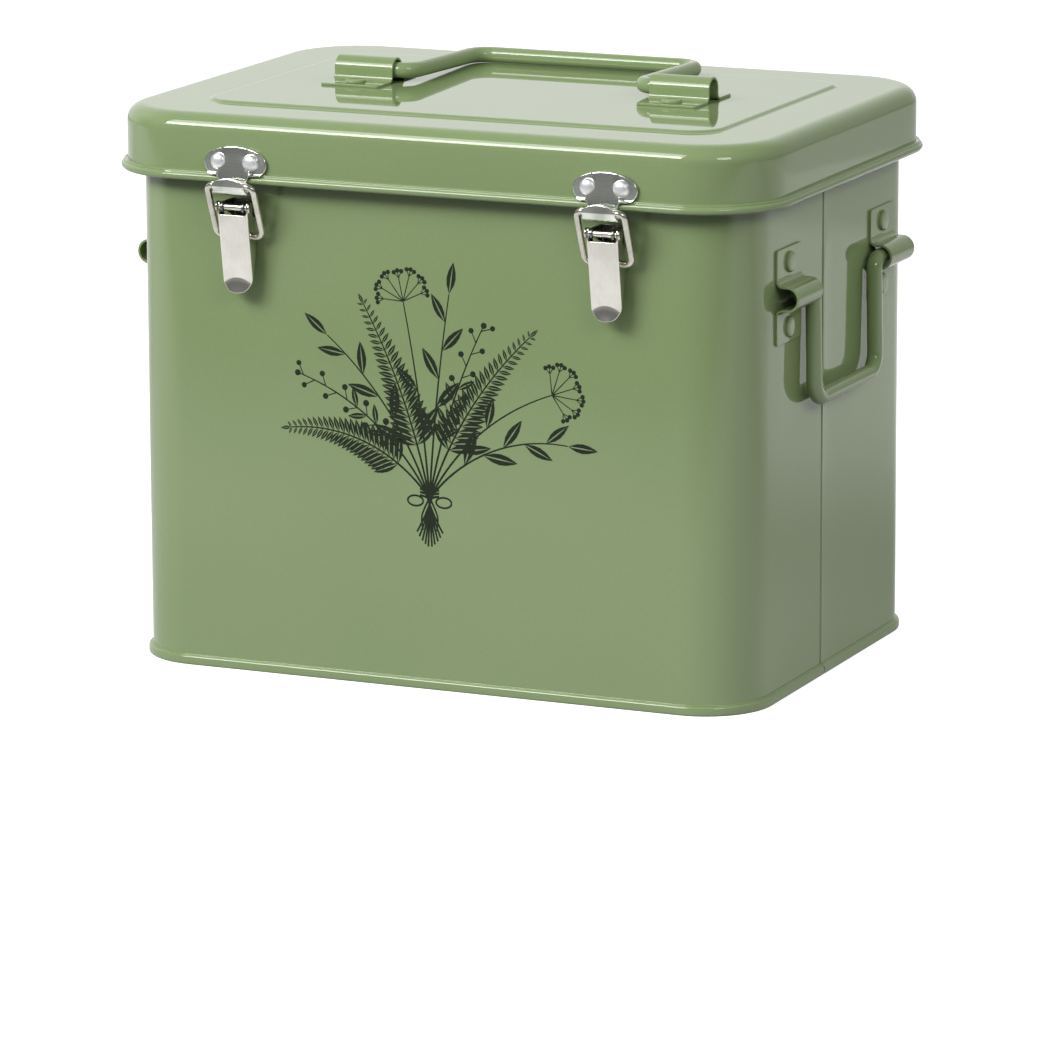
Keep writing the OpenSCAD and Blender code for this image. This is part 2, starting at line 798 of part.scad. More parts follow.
// Hinge leaf on the body, with the two outer knuckles
module hinge_body_leaf(x) {
    outer_w = (hinge_w - knuckle_w) / 2 - side_gap;
    outer_x = (hinge_w - outer_w) / 2;
    color(paint) difference() {
        union() {
            at_rear(x, body_leaf_z) linear_extrude(hinge_t)
                plate2(hinge_w, leaf_drop, leaf_corner_r);
            for (side = [-1, 1])
                rear_slice(x + side * outer_x, outer_w) {
                    translate([0, leaf_top - hinge_t]) square([hinge_axis[0], hinge_t]);
                    translate([0, leaf_top - leaf_corner_r]) square([hinge_t, leaf_corner_r]);
                    translate(hinge_axis) circle(knuckle_r);
                }
        }
        rear_slice(x, hinge_w + 2) translate(hinge_axis) circle(d = hinge_pin_d + 2 * fixed_fit);
        for (side = [-1, 1])
            at_rear(x + side * hinge_pitch / 2, body_leaf_z) rivet_hole(small_d);
    }
}

// Hinge leaf on the lid skirt, stepped over the bead to the middle knuckle
module hinge_lid_leaf(x) {
    color(paint) difference() {
        union() {
            intersection() {
                rear_slice(x, hinge_w) joggle2(hinge_t, lid_leaf_top, hinge_axis[1] + 1);
                at_rear(x, 0) linear_extrude(through) {
                    translate([-hinge_w / 2, joggle_foot]) square([hinge_w, lid_leaf_top - joggle_foot]);
                    translate([-knuckle_w / 2, hinge_axis[1] - knuckle_r])
                        square([knuckle_w, joggle_foot]);
                }
            }
            rear_slice(x, knuckle_w) {
                translate([strap_in, hinge_axis[1]]) square([hinge_t, 3]);
                translate(hinge_axis) circle(knuckle_r);
            }
        }
        rear_slice(x, hinge_w + 2) translate(hinge_axis) circle(d = hinge_pin_d + 2 * turn_fit);
        for (side = [-1, 1])
            at_rear(x + side * hinge_pitch / 2, lid_leaf_z) translate([0, 0, lid_gap])
                rivet_hole(small_d);
    }
}

module hinge_pin(x) {
    color(paint) {
        rear_slice(x, hinge_w) translate(hinge_axis) circle(d = hinge_pin_d);
        for (side = [-1, 1])
            rear_slice(x + side * (hinge_w + hinge_pin_head_t) / 2, hinge_pin_head_t)
                translate(hinge_axis) circle(d = hinge_pin_head_d);
    }
}

module hinge_body_rivets() {
    color(paint) hinge_rivet_places(body_leaf_z) translate([0, 0, hinge_t])
        rivet(small_head_d, small_head_h, small_d, hinge_t + sheet_t);
}

module hinge_lid_rivets() {
    color(paint) hinge_rivet_places(lid_leaf_z) translate([0, 0, lid_gap + hinge_t])
        rivet(small_head_d, small_head_h, small_d, hinge_t + sheet_t);
}

body_shell();
base_pan();
lid_shell();
long_divider();
cross_divider(cross_xs[0]);  // cross_divider_1
cross_divider(cross_xs[1]);  // cross_divider_2
cross_divider(cross_xs[2]);  // cross_divider_3
keeper(-latch_x);  // keeper_left
keeper(latch_x);  // keeper_right
keeper_rivets();
latch_base(-latch_x);  // latch_base_left
latch_base(latch_x);  // latch_base_right
latch_base_rivets();
latch_pin(-latch_x);  // latch_pin_left
latch_pin(latch_x);  // latch_pin_right
latch_lever(-latch_x);  // latch_lever_left
latch_lever(latch_x);  // latch_lever_right
latch_loop(-latch_x);  // latch_loop_left
latch_loop(latch_x);  // latch_loop_right
top_bracket(-1);  // top_bracket_left
top_bracket(1);  // top_bracket_right
top_bracket_rivets();
top_handle();
side_bracket(-1, side_bracket_ys[0]);  // side_bracket_left_front
side_bracket(-1, side_bracket_ys[1]);  // side_bracket_left_rear
side_bracket(1, side_bracket_ys[0]);  // side_bracket_right_front
side_bracket(1, side_bracket_ys[1]);  // side_bracket_right_rear
side_bracket_rivets();
side_handle_left();
side_handle_right();
hinge_body_leaf(-hinge_x);  // hinge_body_leaf_left
hinge_body_leaf(hinge_x);  // hinge_body_leaf_right
hinge_lid_leaf(-hinge_x);  // hinge_lid_leaf_left
hinge_lid_leaf(hinge_x);  // hinge_lid_leaf_right
hinge_pin(-hinge_x);  // hinge_pin_left
hinge_pin(hinge_x);  // hinge_pin_right
hinge_body_rivets();
hinge_lid_rivets();
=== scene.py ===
"""Garden seed organizer box: its looks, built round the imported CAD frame.

Sizes in the classes are millimetres in the frame of the CAD model: the origin lies on the floor
under the middle of the box, the front faces -Y and +Z is up. "out" is the distance from the body
wall, positive away from the box. Meshes are stored in metres.
"""

import json
import logging
import math
from collections.abc import Callable, Sequence
from dataclasses import dataclass, field
from enum import Enum
from functools import partial

import bmesh
import bpy
from mathutils import Matrix, Vector

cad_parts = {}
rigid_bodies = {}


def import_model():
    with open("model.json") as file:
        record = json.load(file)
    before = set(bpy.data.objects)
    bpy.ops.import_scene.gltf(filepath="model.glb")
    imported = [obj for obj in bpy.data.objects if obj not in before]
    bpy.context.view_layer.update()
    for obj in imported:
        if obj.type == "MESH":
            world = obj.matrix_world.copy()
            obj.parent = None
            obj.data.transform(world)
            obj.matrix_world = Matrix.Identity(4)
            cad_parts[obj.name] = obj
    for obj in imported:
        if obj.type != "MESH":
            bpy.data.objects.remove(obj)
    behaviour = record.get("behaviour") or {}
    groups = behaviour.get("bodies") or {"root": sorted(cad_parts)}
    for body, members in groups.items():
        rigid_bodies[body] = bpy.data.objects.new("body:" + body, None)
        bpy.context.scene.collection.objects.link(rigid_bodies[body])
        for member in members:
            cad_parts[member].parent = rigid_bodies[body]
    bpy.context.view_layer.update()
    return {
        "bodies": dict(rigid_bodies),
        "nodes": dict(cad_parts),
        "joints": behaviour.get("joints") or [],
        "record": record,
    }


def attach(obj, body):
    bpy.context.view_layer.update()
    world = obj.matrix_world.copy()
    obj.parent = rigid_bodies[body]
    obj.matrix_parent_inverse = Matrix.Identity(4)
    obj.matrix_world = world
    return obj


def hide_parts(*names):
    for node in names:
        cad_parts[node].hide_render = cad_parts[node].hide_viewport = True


MM = 0.001
RGBA = {"data_type": "RGBA"}
WHITE = (1.0, 1.0, 1.0, 1.0)
# A ramp can't hold more than 1, so light levels are kept as a share of this one.
BRIGHTEST = 1.5
LOG = logging.getLogger("seed_box")

Point2 = tuple[float, float]
Place = Callable[[float, float, float], Vector]
Spot = tuple[Vector, Vector]
Thing, Finish, Shape = bpy.types.Object, bpy.types.Material, bmesh.types.BMesh
Tree, Node, Socket = bpy.types.NodeTree, bpy.types.Node, bpy.types.NodeSocket


class Slot(Enum):
    """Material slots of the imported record."""

    GREEN = "green_paint"
    STEEL = "nickel_steel"


class Side(Enum):
    """The two ends of the box, with the sign of their X."""

    LEFT = -1
    RIGHT = 1

    @property
    def word(self) -> str:
        """The side's name in piece and node names."""
        return self.name.lower()


# ---- nodes and colours


def linear(code: str) -> tuple[float, float, float, float]:
    """Turns an sRGB hex colour into linear light.

    Args:
        code: A colour such as "#83976a".

    Returns:
        Linear red, green and blue, and an alpha of 1.
    """
    parts = [int(code[i : i + 2], 16) / 255 for i in (1, 3, 5)]
    red, green, blue = (c / 12.92 if c <= 0.04045 else ((c + 0.055) / 1.055) ** 2.4 for c in parts)
    return red, green, blue, 1.0


def add(tree: Tree, kind: str, settings: dict | None = None, links: dict | None = None) -> Node:
    """Adds one node to a tree.

    Args:
        tree: The node tree.
        kind: Blender's type name of the node.
        settings: Values of the node's own properties.
        links: Socket name or index, with a plain value or another node's output.

    Returns:
        The new node.
    """
    node = tree.nodes.new(kind)
    for name, value in (settings or {}).items():
        setattr(node, name, value)
    for key, value in (links or {}).items():
        if isinstance(value, Socket):
            tree.links.new(value, node.inputs[key])
        else:
            node.inputs[key].default_value = value
    return node


def set_levels(ramp: Node, stops: Sequence[Point2]) -> Socket:
    """Sets the light levels of a ramp.

    Args:
        ramp: The ramp's node.
        stops: (place, level) from the first to the last.

    Returns:
        The ramp's colour, as a share of the brightest level.
    """
    elements = ramp.color_ramp.elements
    while len(elements) < len(stops):
        elements.new(0.5)
    for element, (spot, level) in zip(elements, stops):
        element.position = spot
        element.color = (level / BRIGHTEST,) * 3 + (1.0,)
    return ramp.outputs["Color"]


# ---- finishes


class Coating:
    """A finish: nodes that lead from a place on a piece to its surface."""

    name: str

    def surface(self, node: partial, place: Socket) -> Node:
        """Adds the finish's nodes and gives the last one."""
        raise NotImplementedError

    def material(self) -> Finish:
        """Builds the material.

        Returns:
            The material.
        """
        material = bpy.data.materials.new(self.name)
        material.use_nodes = True
        material.node_tree.nodes.clear()
        node = partial(add, material.node_tree)
        place = node("ShaderNodeTexCoord").outputs["Object"]
        node("ShaderNodeOutputMaterial", links={"Surface": self.surface(node, place).outputs[0]})
        return material


@dataclass(frozen=True)
class StovedEnamel(Coating):
    """Enamel sprayed on sheet steel and baked hard.

    To the eye: an even colour under a clear, mirror-like skin, with the faint ripple that sprayed
    paint keeps and a slow drift in tone where the coat is thicker.
    """

    name: str
    colour: str
    thin: str
    roughness: float
    coat: float
    coat_roughness: float
    ripple_deep: float = 0.0011
    ripple_mm: float = 3.2
    drift_mm: float = 90.0
    fleck_mm: float = 0.7
    spread: float = 0.04

    def surface(self, node: partial, place: Socket) -> Node:
        """Mixes two tones by drift and fleck, under a rippled coat.

        Args:
            node: What adds a node to the tree.
            place: The place on the piece.

        Returns:
            The last node.
        """
        drift, fleck, ripple = (
            node("ShaderNodeTexNoise", links={"Vector": place, "Scale": 1000 / size, "Detail": detail}).outputs["Fac"]
            for size, detail in ((self.drift_mm, 2.0), (self.fleck_mm, 1.0), (self.ripple_mm, 1.0))
        )
        about = (self.roughness - self.spread, self.roughness + self.spread)
        tone, grit, rough = (
            node(
                "ShaderNodeMapRange",
                links={"Value": wave, "From Min": low, "From Max": high, "To Min": ends[0], "To Max": ends[1]},
            ).outputs["Result"]
            for wave, low, high, ends in (
                (drift, 0.3, 0.7, (0.0, 0.5)),
                (fleck, 0.45, 0.75, (0.0, 0.35)),
                (drift, 0.3, 0.7, about),
            )
        )
        amount = node("ShaderNodeMath", {"operation": "ADD", "use_clamp": True}, {0: tone, 1: grit}).outputs[0]
        paint = node("ShaderNodeMix", RGBA, {0: amount, 6: linear(self.colour), 7: linear(self.thin)})
        relief = node("ShaderNodeBump", links={"Height": ripple, "Distance": self.ripple_deep * MM, "Strength": 1.0})
        return node(
            "ShaderNodeBsdfPrincipled",
            links={
                "Base Color": paint.outputs[2],
                "Roughness": rough,
                "Specular IOR Level": 0.0,
                "Normal": relief.outputs[0],
                "Coat Weight": self.coat,
                "Coat Roughness": self.coat_roughness,
                "Coat IOR": 1.55,
                "Coat Normal": relief.outputs[0],
            },
        )


@dataclass(frozen=True)
class NickelPlate(Coating):
    """Nickel plate on pressed or drawn steel.

    To the eye: a warm grey metal whose fine grain, left by the brush before plating, draws each
    highlight out along its run, with slightly duller patches where it has been handled.
    """

    name: str
    colour: str
    dull: str
    roughness: float
    spread: float
    grain_mm: tuple[float, float, float]
    grain_deep: float
    patch_mm: float = 9.0

    def surface(self, node: partial, place: Socket) -> Node:
        """Mixes two tones by grain and patches, on metal.

        Args:
            node: What adds a node to the tree.
            place: The place on the piece.

        Returns:
            The last node.
        """
        run = node("ShaderNodeMapping", links={"Vector": place, "Scale": tuple(1000 / size for size in self.grain_mm)})
        grain, patch = (
            node("ShaderNodeTexNoise", links={"Vector": where, "Scale": scale, "Detail": detail}).outputs["Fac"]
            for where, scale, detail in ((run.outputs[0], 1.0, 3.0), (place, 1000 / self.patch_mm, 2.0))
        )
        both = node("ShaderNodeMath", {"operation": "MULTIPLY_ADD"}, {0: grain, 1: 0.6, 2: patch}).outputs[0]
        amount, rough = (
            node(
                "ShaderNodeMapRange",
                links={"Value": both, "From Min": 0.6, "From Max": 1.0, "To Min": low, "To Max": high},
            ).outputs["Result"]
            for low, high in ((0.0, 1.0), (self.roughness - self.spread, self.roughness + self.spread))
        )
        tint = node("ShaderNodeMix", RGBA, {0: amount, 6: linear(self.colour), 7: linear(self.dull)})
        relief = node("ShaderNodeBump", links={"Height": grain, "Distance": self.grain_deep * MM, "Strength": 1.0})
        return node(
            "ShaderNodeBsdfPrincipled",
            links={"Base Color": tint.outputs[2], "Metallic": 1.0, "Roughness": rough, "Normal": relief.outputs[0]},
        )


@dataclass(frozen=True)
class ScreenInk(Coating):
    """Screen-printed enamel ink.

    To the eye: a flat, near-black green that is duller than the paint round it, with tiny thin spots
    where the mesh of the screen let less ink through.
    """

    name: str = "screen_printed_ink"
    colour: str = "#222a20"
    thin: str = "#35412f"
    mesh_mm: float = 0.5

    def surface(self, node: partial, place: Socket) -> Node:
        """Thins the ink in spots, with little shine.

        Args:
            node: What adds a node to the tree.
            place: The place on the piece.

        Returns:
            The last node.
        """
        spots = node("ShaderNodeTexNoise", links={"Vector": place, "Scale": 1000 / self.mesh_mm, "Detail": 1.0})
        links = {"Value": spots.outputs["Fac"], "From Min": 0.5, "From Max": 0.75, "To Max": 0.8}
        amount = node("ShaderNodeMapRange", links=links).outputs["Result"]
        tint = node("ShaderNodeMix", RGBA, {0: amount, 6: linear(self.colour), 7: linear(self.thin)})
        links = {"Base Color": tint.outputs[2], "Roughness": 0.5, "IOR": 1.5, "Specular IOR Level": 0.12}
        return node("ShaderNodeBsdfPrincipled", links=links)


class Finishes:
    """Every finish of the box, built once."""

    def __init__(self) -> None:
        """Builds the materials."""
        self.enamel, self.satin = (
            StovedEnamel(*values).material()
            for values in (
                ("sage_green_enamel", "#7f9364", "#87996d", 0.34, 1.0, 0.03),
                ("satin_green_enamel", "#87996d", "#8fa078", 0.42, 0.25, 0.25, 0.004),
            )
        )
        # A brush runs level across the keepers: its lines are far finer than the render can show,
        # so they are drawn 0.25 mm apart.
        self.plate, self.lever, self.wire, self.rivet, self.zinc = (
            NickelPlate(*values).material()
            for values in (
                ("brushed_nickel_plate", "#f0f3ec", "#bcc0b8", 0.15, 0.05, (7.0, 0.25, 0.25), 0.002),
                ("polished_nickel_plate", "#e0ded6", "#d6d3cb", 0.13, 0.03, (0.5, 0.5, 9.0), 0.0006),
                ("drawn_nickel_wire", "#d3d0c7", "#b5b2a8", 0.2, 0.05, (0.4, 0.4, 6.0), 0.002),
                ("tumbled_nickel_rivet", "#f6f7f8", "#e8e9ea", 0.42, 0.04, (0.6, 0.6, 0.6), 0.002),
                # The latch bases and their rivets get a dark grey below the plated metal's own tone: painted shade for
                # the dark gap between the lever's ears.
                ("barrel_plated_base", "#83857f", "#6c6e69", 0.3, 0.05, (0.8, 0.8, 0.8), 0.003),
            )
        )
        self.ink = ScreenInk().material()


# ---- mesh helpers


def linked(name: str, data: bpy.types.ID) -> Thing:
    """Puts a mesh, a lamp or a camera into the scene as an object.

    Args:
        name: The object's name.
        data: Its mesh, lamp or camera.

    Returns:
        The object.
    """
    piece = bpy.data.objects.new(name, data)
    bpy.context.scene.collection.objects.link(piece)
    return piece


def evaluated(piece: Thing) -> bpy.types.Mesh:
    """A plain copy of the piece's mesh with its modifiers applied.

    Args:
        piece: The piece.

    Returns:
        The mesh.
    """
    bpy.context.view_layer.update()
    graph = bpy.context.evaluated_depsgraph_get()
    return bpy.data.meshes.new_from_object(piece.evaluated_get(graph), depsgraph=graph)


def smooth_but_sharp(mesh: bpy.types.Mesh, sharp: float) -> None:
    """Shades a mesh smooth, save for edges that turn by more than sharp degrees."""
    mesh.shade_smooth()
    mesh.set_sharp_from_angle(angle=math.radians(sharp))


def mesh_object(name: str, shape: Shape, finish: Finish, sharp: float = 35.0) -> Thing:
    """Turns a bmesh in millimetres into a finished object in metres, and frees the bmesh.

    Args:
        name: The object's name.
        shape: The shape.
        finish: Its material.
        sharp: Edges that turn by more than this many degrees stay sharp.

    Returns:
        The object, linked to the scene.
    """
    bmesh.ops.scale(shape, vec=(MM, MM, MM), verts=shape.verts)
    mesh = bpy.data.meshes.new(name)
    shape.to_mesh(mesh)
    shape.free()
    smooth_but_sharp(mesh, sharp)
    mesh.materials.append(finish)
    return linked(name, mesh)


def keep_flats_flat(piece: Thing) -> Thing:
    """Lets the wide faces rule the shading, so that only the broken edges look round.

    Args:
        piece: The piece.

    Returns:
        The same piece, with its modifier applied.
    """
    modifier = piece.modifiers.new("flats", "WEIGHTED_NORMAL")
    modifier.keep_sharp = True
    plain, piece.data = piece.data, evaluated(piece)
    piece.modifiers.clear()
    bpy.data.meshes.remove(plain)
    piece.data.name = piece.name
    return piece


def polygon_mesh(points: Sequence[Vector], faces: Sequence[Sequence[int]]) -> Shape:
    """Makes a bmesh of points and faces, in millimetres.

    Args:
        points: The points.
        faces: The numbers of each face's points.

    Returns:
        The bmesh.
    """
    shape = bmesh.new()
    verts = [shape.verts.new(point) for point in points]
    for face in faces:
        shape.faces.new([verts[i] for i in face])
    return shape


def lathe(profile: Sequence[Point2], steps: int = 36) -> Shape:
    """Turns a profile about Z.

    Args:
        profile: (radius, height) from the lower pole to the upper one, both poles on the axis.
        steps: Faces round the axis.

    Returns:
        A closed shape with outward faces, in millimetres.
    """
    points = [Vector((0, 0, profile[0][1]))]
    for radius, height in profile[1:-1]:
        turns = [math.tau * i / steps for i in range(steps)]
        points += [Vector((radius * math.cos(turn), radius * math.sin(turn), height)) for turn in turns]
    points.append(Vector((0, 0, profile[-1][1])))
    rows, top = len(profile) - 2, len(points) - 1
    last = 1 + (rows - 1) * steps
    faces = []
    for i in range(steps):
        j = (i + 1) % steps
        faces.append((0, 1 + j, 1 + i))
        for low in range(1, last, steps):
            faces.append((low + i, low + j, low + steps + j, low + steps + i))
        faces.append((last + i, last + j, top))
    return polygon_mesh(points, faces)


def joined(name: str, parts: Sequence[Thing], finish: Finish) -> Thing:
    """Joins objects of one finish into a new object and removes them.

    Args:
        name: The new object's name.
        parts: The objects.
        finish: Their material.

    Returns:
        The new object.
    """
    shape = bmesh.new()
    for part in parts:
        shape.from_mesh(part.data)
        bpy.data.objects.remove(part)
    bmesh.ops.scale(shape, vec=(1000, 1000, 1000), verts=shape.verts)
    return mesh_object(name, shape, finish)


def smoothstep(start: float, end: float, value: float) -> float:
    """A soft rise from 0 at start to 1 at end."""
    share = min(max((value - start) / (end - start), 0.0), 1.0)
    return share * share * (3 - 2 * share)


def arc(centre: Point2, radius: float, start: float, end: float, steps: int) -> list[Point2]:
    """Points on an arc, from one angle to another in degrees, both ends included."""
    turns = [math.radians(start + (end - start) * i / steps) for i in range(steps + 1)]
    return [(centre[0] + radius * math.cos(turn), centre[1] + radius * math.sin(turn)) for turn in turns]


def rounded(corners: Sequence[tuple[float, float, float]], steps: int = 6) -> list[Point2]:
    """Rounds the corners of a closed outline.

    Args:
        corners: (x, y, radius) of each corner; a radius of 0 keeps it sharp.
        steps: Pieces of each rounding.

    Returns:
        The outline's points.
    """
    outline: list[Point2] = []
    for i, (x, y, radius) in enumerate(corners):
        here = Vector((x, y))
        before = (Vector(corners[i - 1][:2]) - here).normalized()
        after = (Vector(corners[(i + 1) % len(corners)][:2]) - here).normalized()
        half = before.angle(after) / 2
        if radius <= 0 or half > math.radians(88):
            outline.append((x, y))
            continue
        middle = here + (before + after).normalized() * (radius / math.sin(half))
        first = here + before * (radius / math.tan(half)) - middle
        last = here + after * (radius / math.tan(half)) - middle
        sweep = first.angle_signed(last)
        for k in range(steps + 1):
            spoke = first.copy()
            spoke.rotate(Matrix.Rotation(-sweep * k / steps, 2))
            outline.append((middle.x + spoke.x, middle.y + spoke.y))
    return outline


def mirrored(half: Sequence[Point2]) -> list[Point2]:
    """Closes a half outline, drawn at positive x from its start to its end, with its mirror image."""
    return [*half, *((-x, y) for x, y in reversed(half) if abs(x) > 1e-6)]


def smoothed(points: Sequence[Point2], steps: int = 4) -> list[Point2]:
    """Draws a flowing line through points, ends included.

    Args:
        points: The points.
        steps: Pieces between two points.

    Returns:
        The line's points.
    """
    padded = [points[0], *points, points[-1]]
    line: list[Point2] = []
    for ends in zip(padded, padded[1:], padded[2:], padded[3:]):
        for t in (k / steps for k in range(steps)):
            line.append(
                tuple(
                    0.5 * (2 * q + (r - p) * t + (2 * p - 5 * q + 4 * r - s) * t**2 + (3 * q - p - 3 * r + s) * t**3)
                    for p, q, r, s in zip(*ends)
                )
            )
    return [*line, points[-1]]


# ---- rings round the box


@dataclass(frozen=True)
class Ring:
    """A level loop round the box: a rounded rectangle at a height, all in millimetres."""

    width: float
    depth: float
    radius: float
    height: float
    groove: float = 0.0


@dataclass
class Perimeter:
    """Stations round a rounded rectangle, shared by all the rings of one shell."""

    corner_steps: int = 14
    side_steps: int = 10
    right: Sequence[Point2] = ()
    stations: list[tuple[float, ...]] = field(init=False)

    def __post_init__(self) -> None:
        """Lays the stations out against the clock, seen from above, from the right wall on."""
        even = [(-1 + 2 * i / self.side_steps, 0.0) for i in range(self.side_steps + 1)]
        self.stations = []
        for wall, spots in enumerate((sorted({*even, *self.right}), even, even, even)):
            start = math.radians(90 * wall)
            nx, ny = round(math.cos(start)), round(math.sin(start))
            for spot, relief in spots:
                sx, sy = (nx, spot * nx) if nx else (-spot * ny, ny)
                self.stations.append((sx, sy, nx, ny, relief))
            cx, cy = (nx, nx) if nx else (-ny, ny)
            for i in range(1, self.corner_steps):
                turn = start + math.pi / 2 * i / self.corner_steps
                self.stations.append((cx, cy, math.cos(turn), math.sin(turn), 0.0))

    def points(self, ring: Ring) -> list[Vector]:
        """The points of one ring, in millimetres.

        Args:
            ring: The ring.

        Returns:
            One point a station.
        """
        half_x, half_y = ring.width / 2 - ring.radius, ring.depth / 2 - ring.radius
        found = []
        for sx, sy, nx, ny, relief in self.stations:
            reach = ring.radius + relief * ring.groove
            found.append(Vector((sx * half_x + nx * reach, sy * half_y + ny * reach, ring.height)))
        return found

    def shell(self, rings: Sequence[Ring], capped: bool) -> Shape:
        """Joins rings into a closed shell.

        Args:
            rings: The rings, up the outside; the faces then point outwards.
            capped: True closes the first and last ring with a face each, False joins them.

        Returns:
            The shell in millimetres.
        """
        count, last = len(self.stations), len(rings) - 1
        points = [point for ring in rings for point in self.points(ring)]
        faces: list[Sequence[int]] = []
        for low, high in [(k, k + 1) for k in range(last)] + ([] if capped else [(last, 0)]):
            for i in range(count):
                j = (i + 1) % count
                faces.append((low * count + i, low * count + j, high * count + j, high * count + i))
        if capped:
            faces += [tuple(reversed(range(count))), tuple(range(last * count, (last + 1) * count))]
        return polygon_mesh(points, faces)


# ---- folded stampings


@dataclass(frozen=True)
class Run:
    """One stretch of a fold line, in millimetres and degrees; a turn to the left is positive."""

    length: float
    turn: float = 0.0


def folded(start: Point2, heading: float, *runs: tuple[float, ...]) -> "FoldLine":
    """A fold line from plain numbers."""
    return FoldLine(start, heading, tuple(Run(*run) for run in runs))


@dataclass(frozen=True)
class FoldLine:
    """Side view of a bent sheet, along the middle of its thickness."""

    start: Point2
    heading: float
    runs: tuple[Run, ...]

    def at(self, along: float, off: float = 0.0) -> Point2:
        """A point of the bent sheet in its side view.

        Args:
            along: Distance from the start, in millimetres.
            off: Distance from the middle of the sheet, to the left.

        Returns:
            The point in the plane of the side view.
        """
        x, y = self.start
        heading, left = math.radians(self.heading), along
        for run in self.runs:
            step = left if run is self.runs[-1] and not run.turn else min(left, run.length)
            if run.turn:
                bend = math.radians(run.turn) / run.length
                x += (math.sin(heading + bend * step) - math.sin(heading)) / bend
                y -= (math.cos(heading + bend * step) - math.cos(heading)) / bend
                heading += bend * step
            else:
                x += step * math.cos(heading)
                y += step * math.sin(heading)
            left -= step
            if left <= 1e-9:
                break
        return x - off * math.sin(heading), y + off * math.cos(heading)

    def cuts(self, degrees: float = 9.0) -> list[float]:
        """Where the sheet is cut so that its bends come out round.

        Args:
            degrees: The most that the sheet turns between two cuts.

        Returns:
            Distances from the start, in order.
        """
        found, along = [], 0.0
        for run in self.runs:
            if run.turn:
                steps = max(1, math.ceil(abs(run.turn) / degrees))
                found += [along + run.length * i / steps for i in range(steps + 1)]
            along += run.length
        return sorted(set(found))

    @property
    def length(self) -> float:
        """The sheet's length when flat."""
        return sum(run.length for run in self.runs)


@dataclass
class Stamping:
    """A flat blank that is cut, bent and broken at its edges.

    Args:
        outline: The blank's outline as (across, along).
        thickness: The sheet's thickness.
        place: Takes across, along and the distance from the middle of the sheet to a point.
        across_cuts: Cut lines at these distances across.
        along_cuts: Cut lines at these distances along.
        rim: Width of the broken edge.
    """

    outline: Sequence[Point2]
    thickness: float
    place: Place
    across_cuts: Sequence[float] = ()
    along_cuts: Sequence[float] = ()
    rim: float = 0.15

    def build(self, name: str, finish: Finish) -> Thing:
        """Cuts, bends and finishes the blank.

        Args:
            name: The piece's name.
            finish: Its material.

        Returns:
            The piece.
        """
        sheet = bmesh.new()
        sheet.faces.new([sheet.verts.new((x, y, 0)) for x, y in self.outline])
        for axis, cuts in ((0, self.across_cuts), (1, self.along_cuts)):
            for cut in cuts:
                on_line, square = Vector(), Vector()
                on_line[axis], square[axis] = cut, 1
                parts = [*sheet.verts, *sheet.edges, *sheet.faces]
                bmesh.ops.bisect_plane(sheet, geom=parts, dist=0.02, plane_co=on_line, plane_no=square)
        bmesh.ops.remove_doubles(sheet, verts=sheet.verts, dist=0.02)
        sheet.verts.index_update()
        solid = bmesh.new()
        upper, lower = (
            [solid.verts.new(self.place(v.co.x, v.co.y, off)) for v in sheet.verts]
            for off in (self.thickness / 2, -self.thickness / 2)
        )
        for face in sheet.faces:
            corners = [v.index for v in face.verts]
            solid.faces.new([upper[i] for i in corners])
            solid.faces.new([lower[i] for i in reversed(corners)])
        rims = set()
        for edge in sheet.edges:
            if edge.is_boundary:
                i, j = (v.index for v in edge.verts)
                wall = solid.faces.new([upper[i], upper[j], lower[j], lower[i]])
                rims |= {wall.edges[0], wall.edges[2]}
        sheet.free()
        bmesh.ops.recalc_face_normals(solid, faces=solid.faces)
        edges = [edge for edge in solid.edges if edge in rims]
        bmesh.ops.bevel(
            solid, geom=edges, offset=self.rim, segments=3, profile=0.5, affect="EDGES", clamp_overlap=False
        )
        return keep_flats_flat(mesh_object(name, solid, finish, sharp=50.0))


# ---- geometry node trees


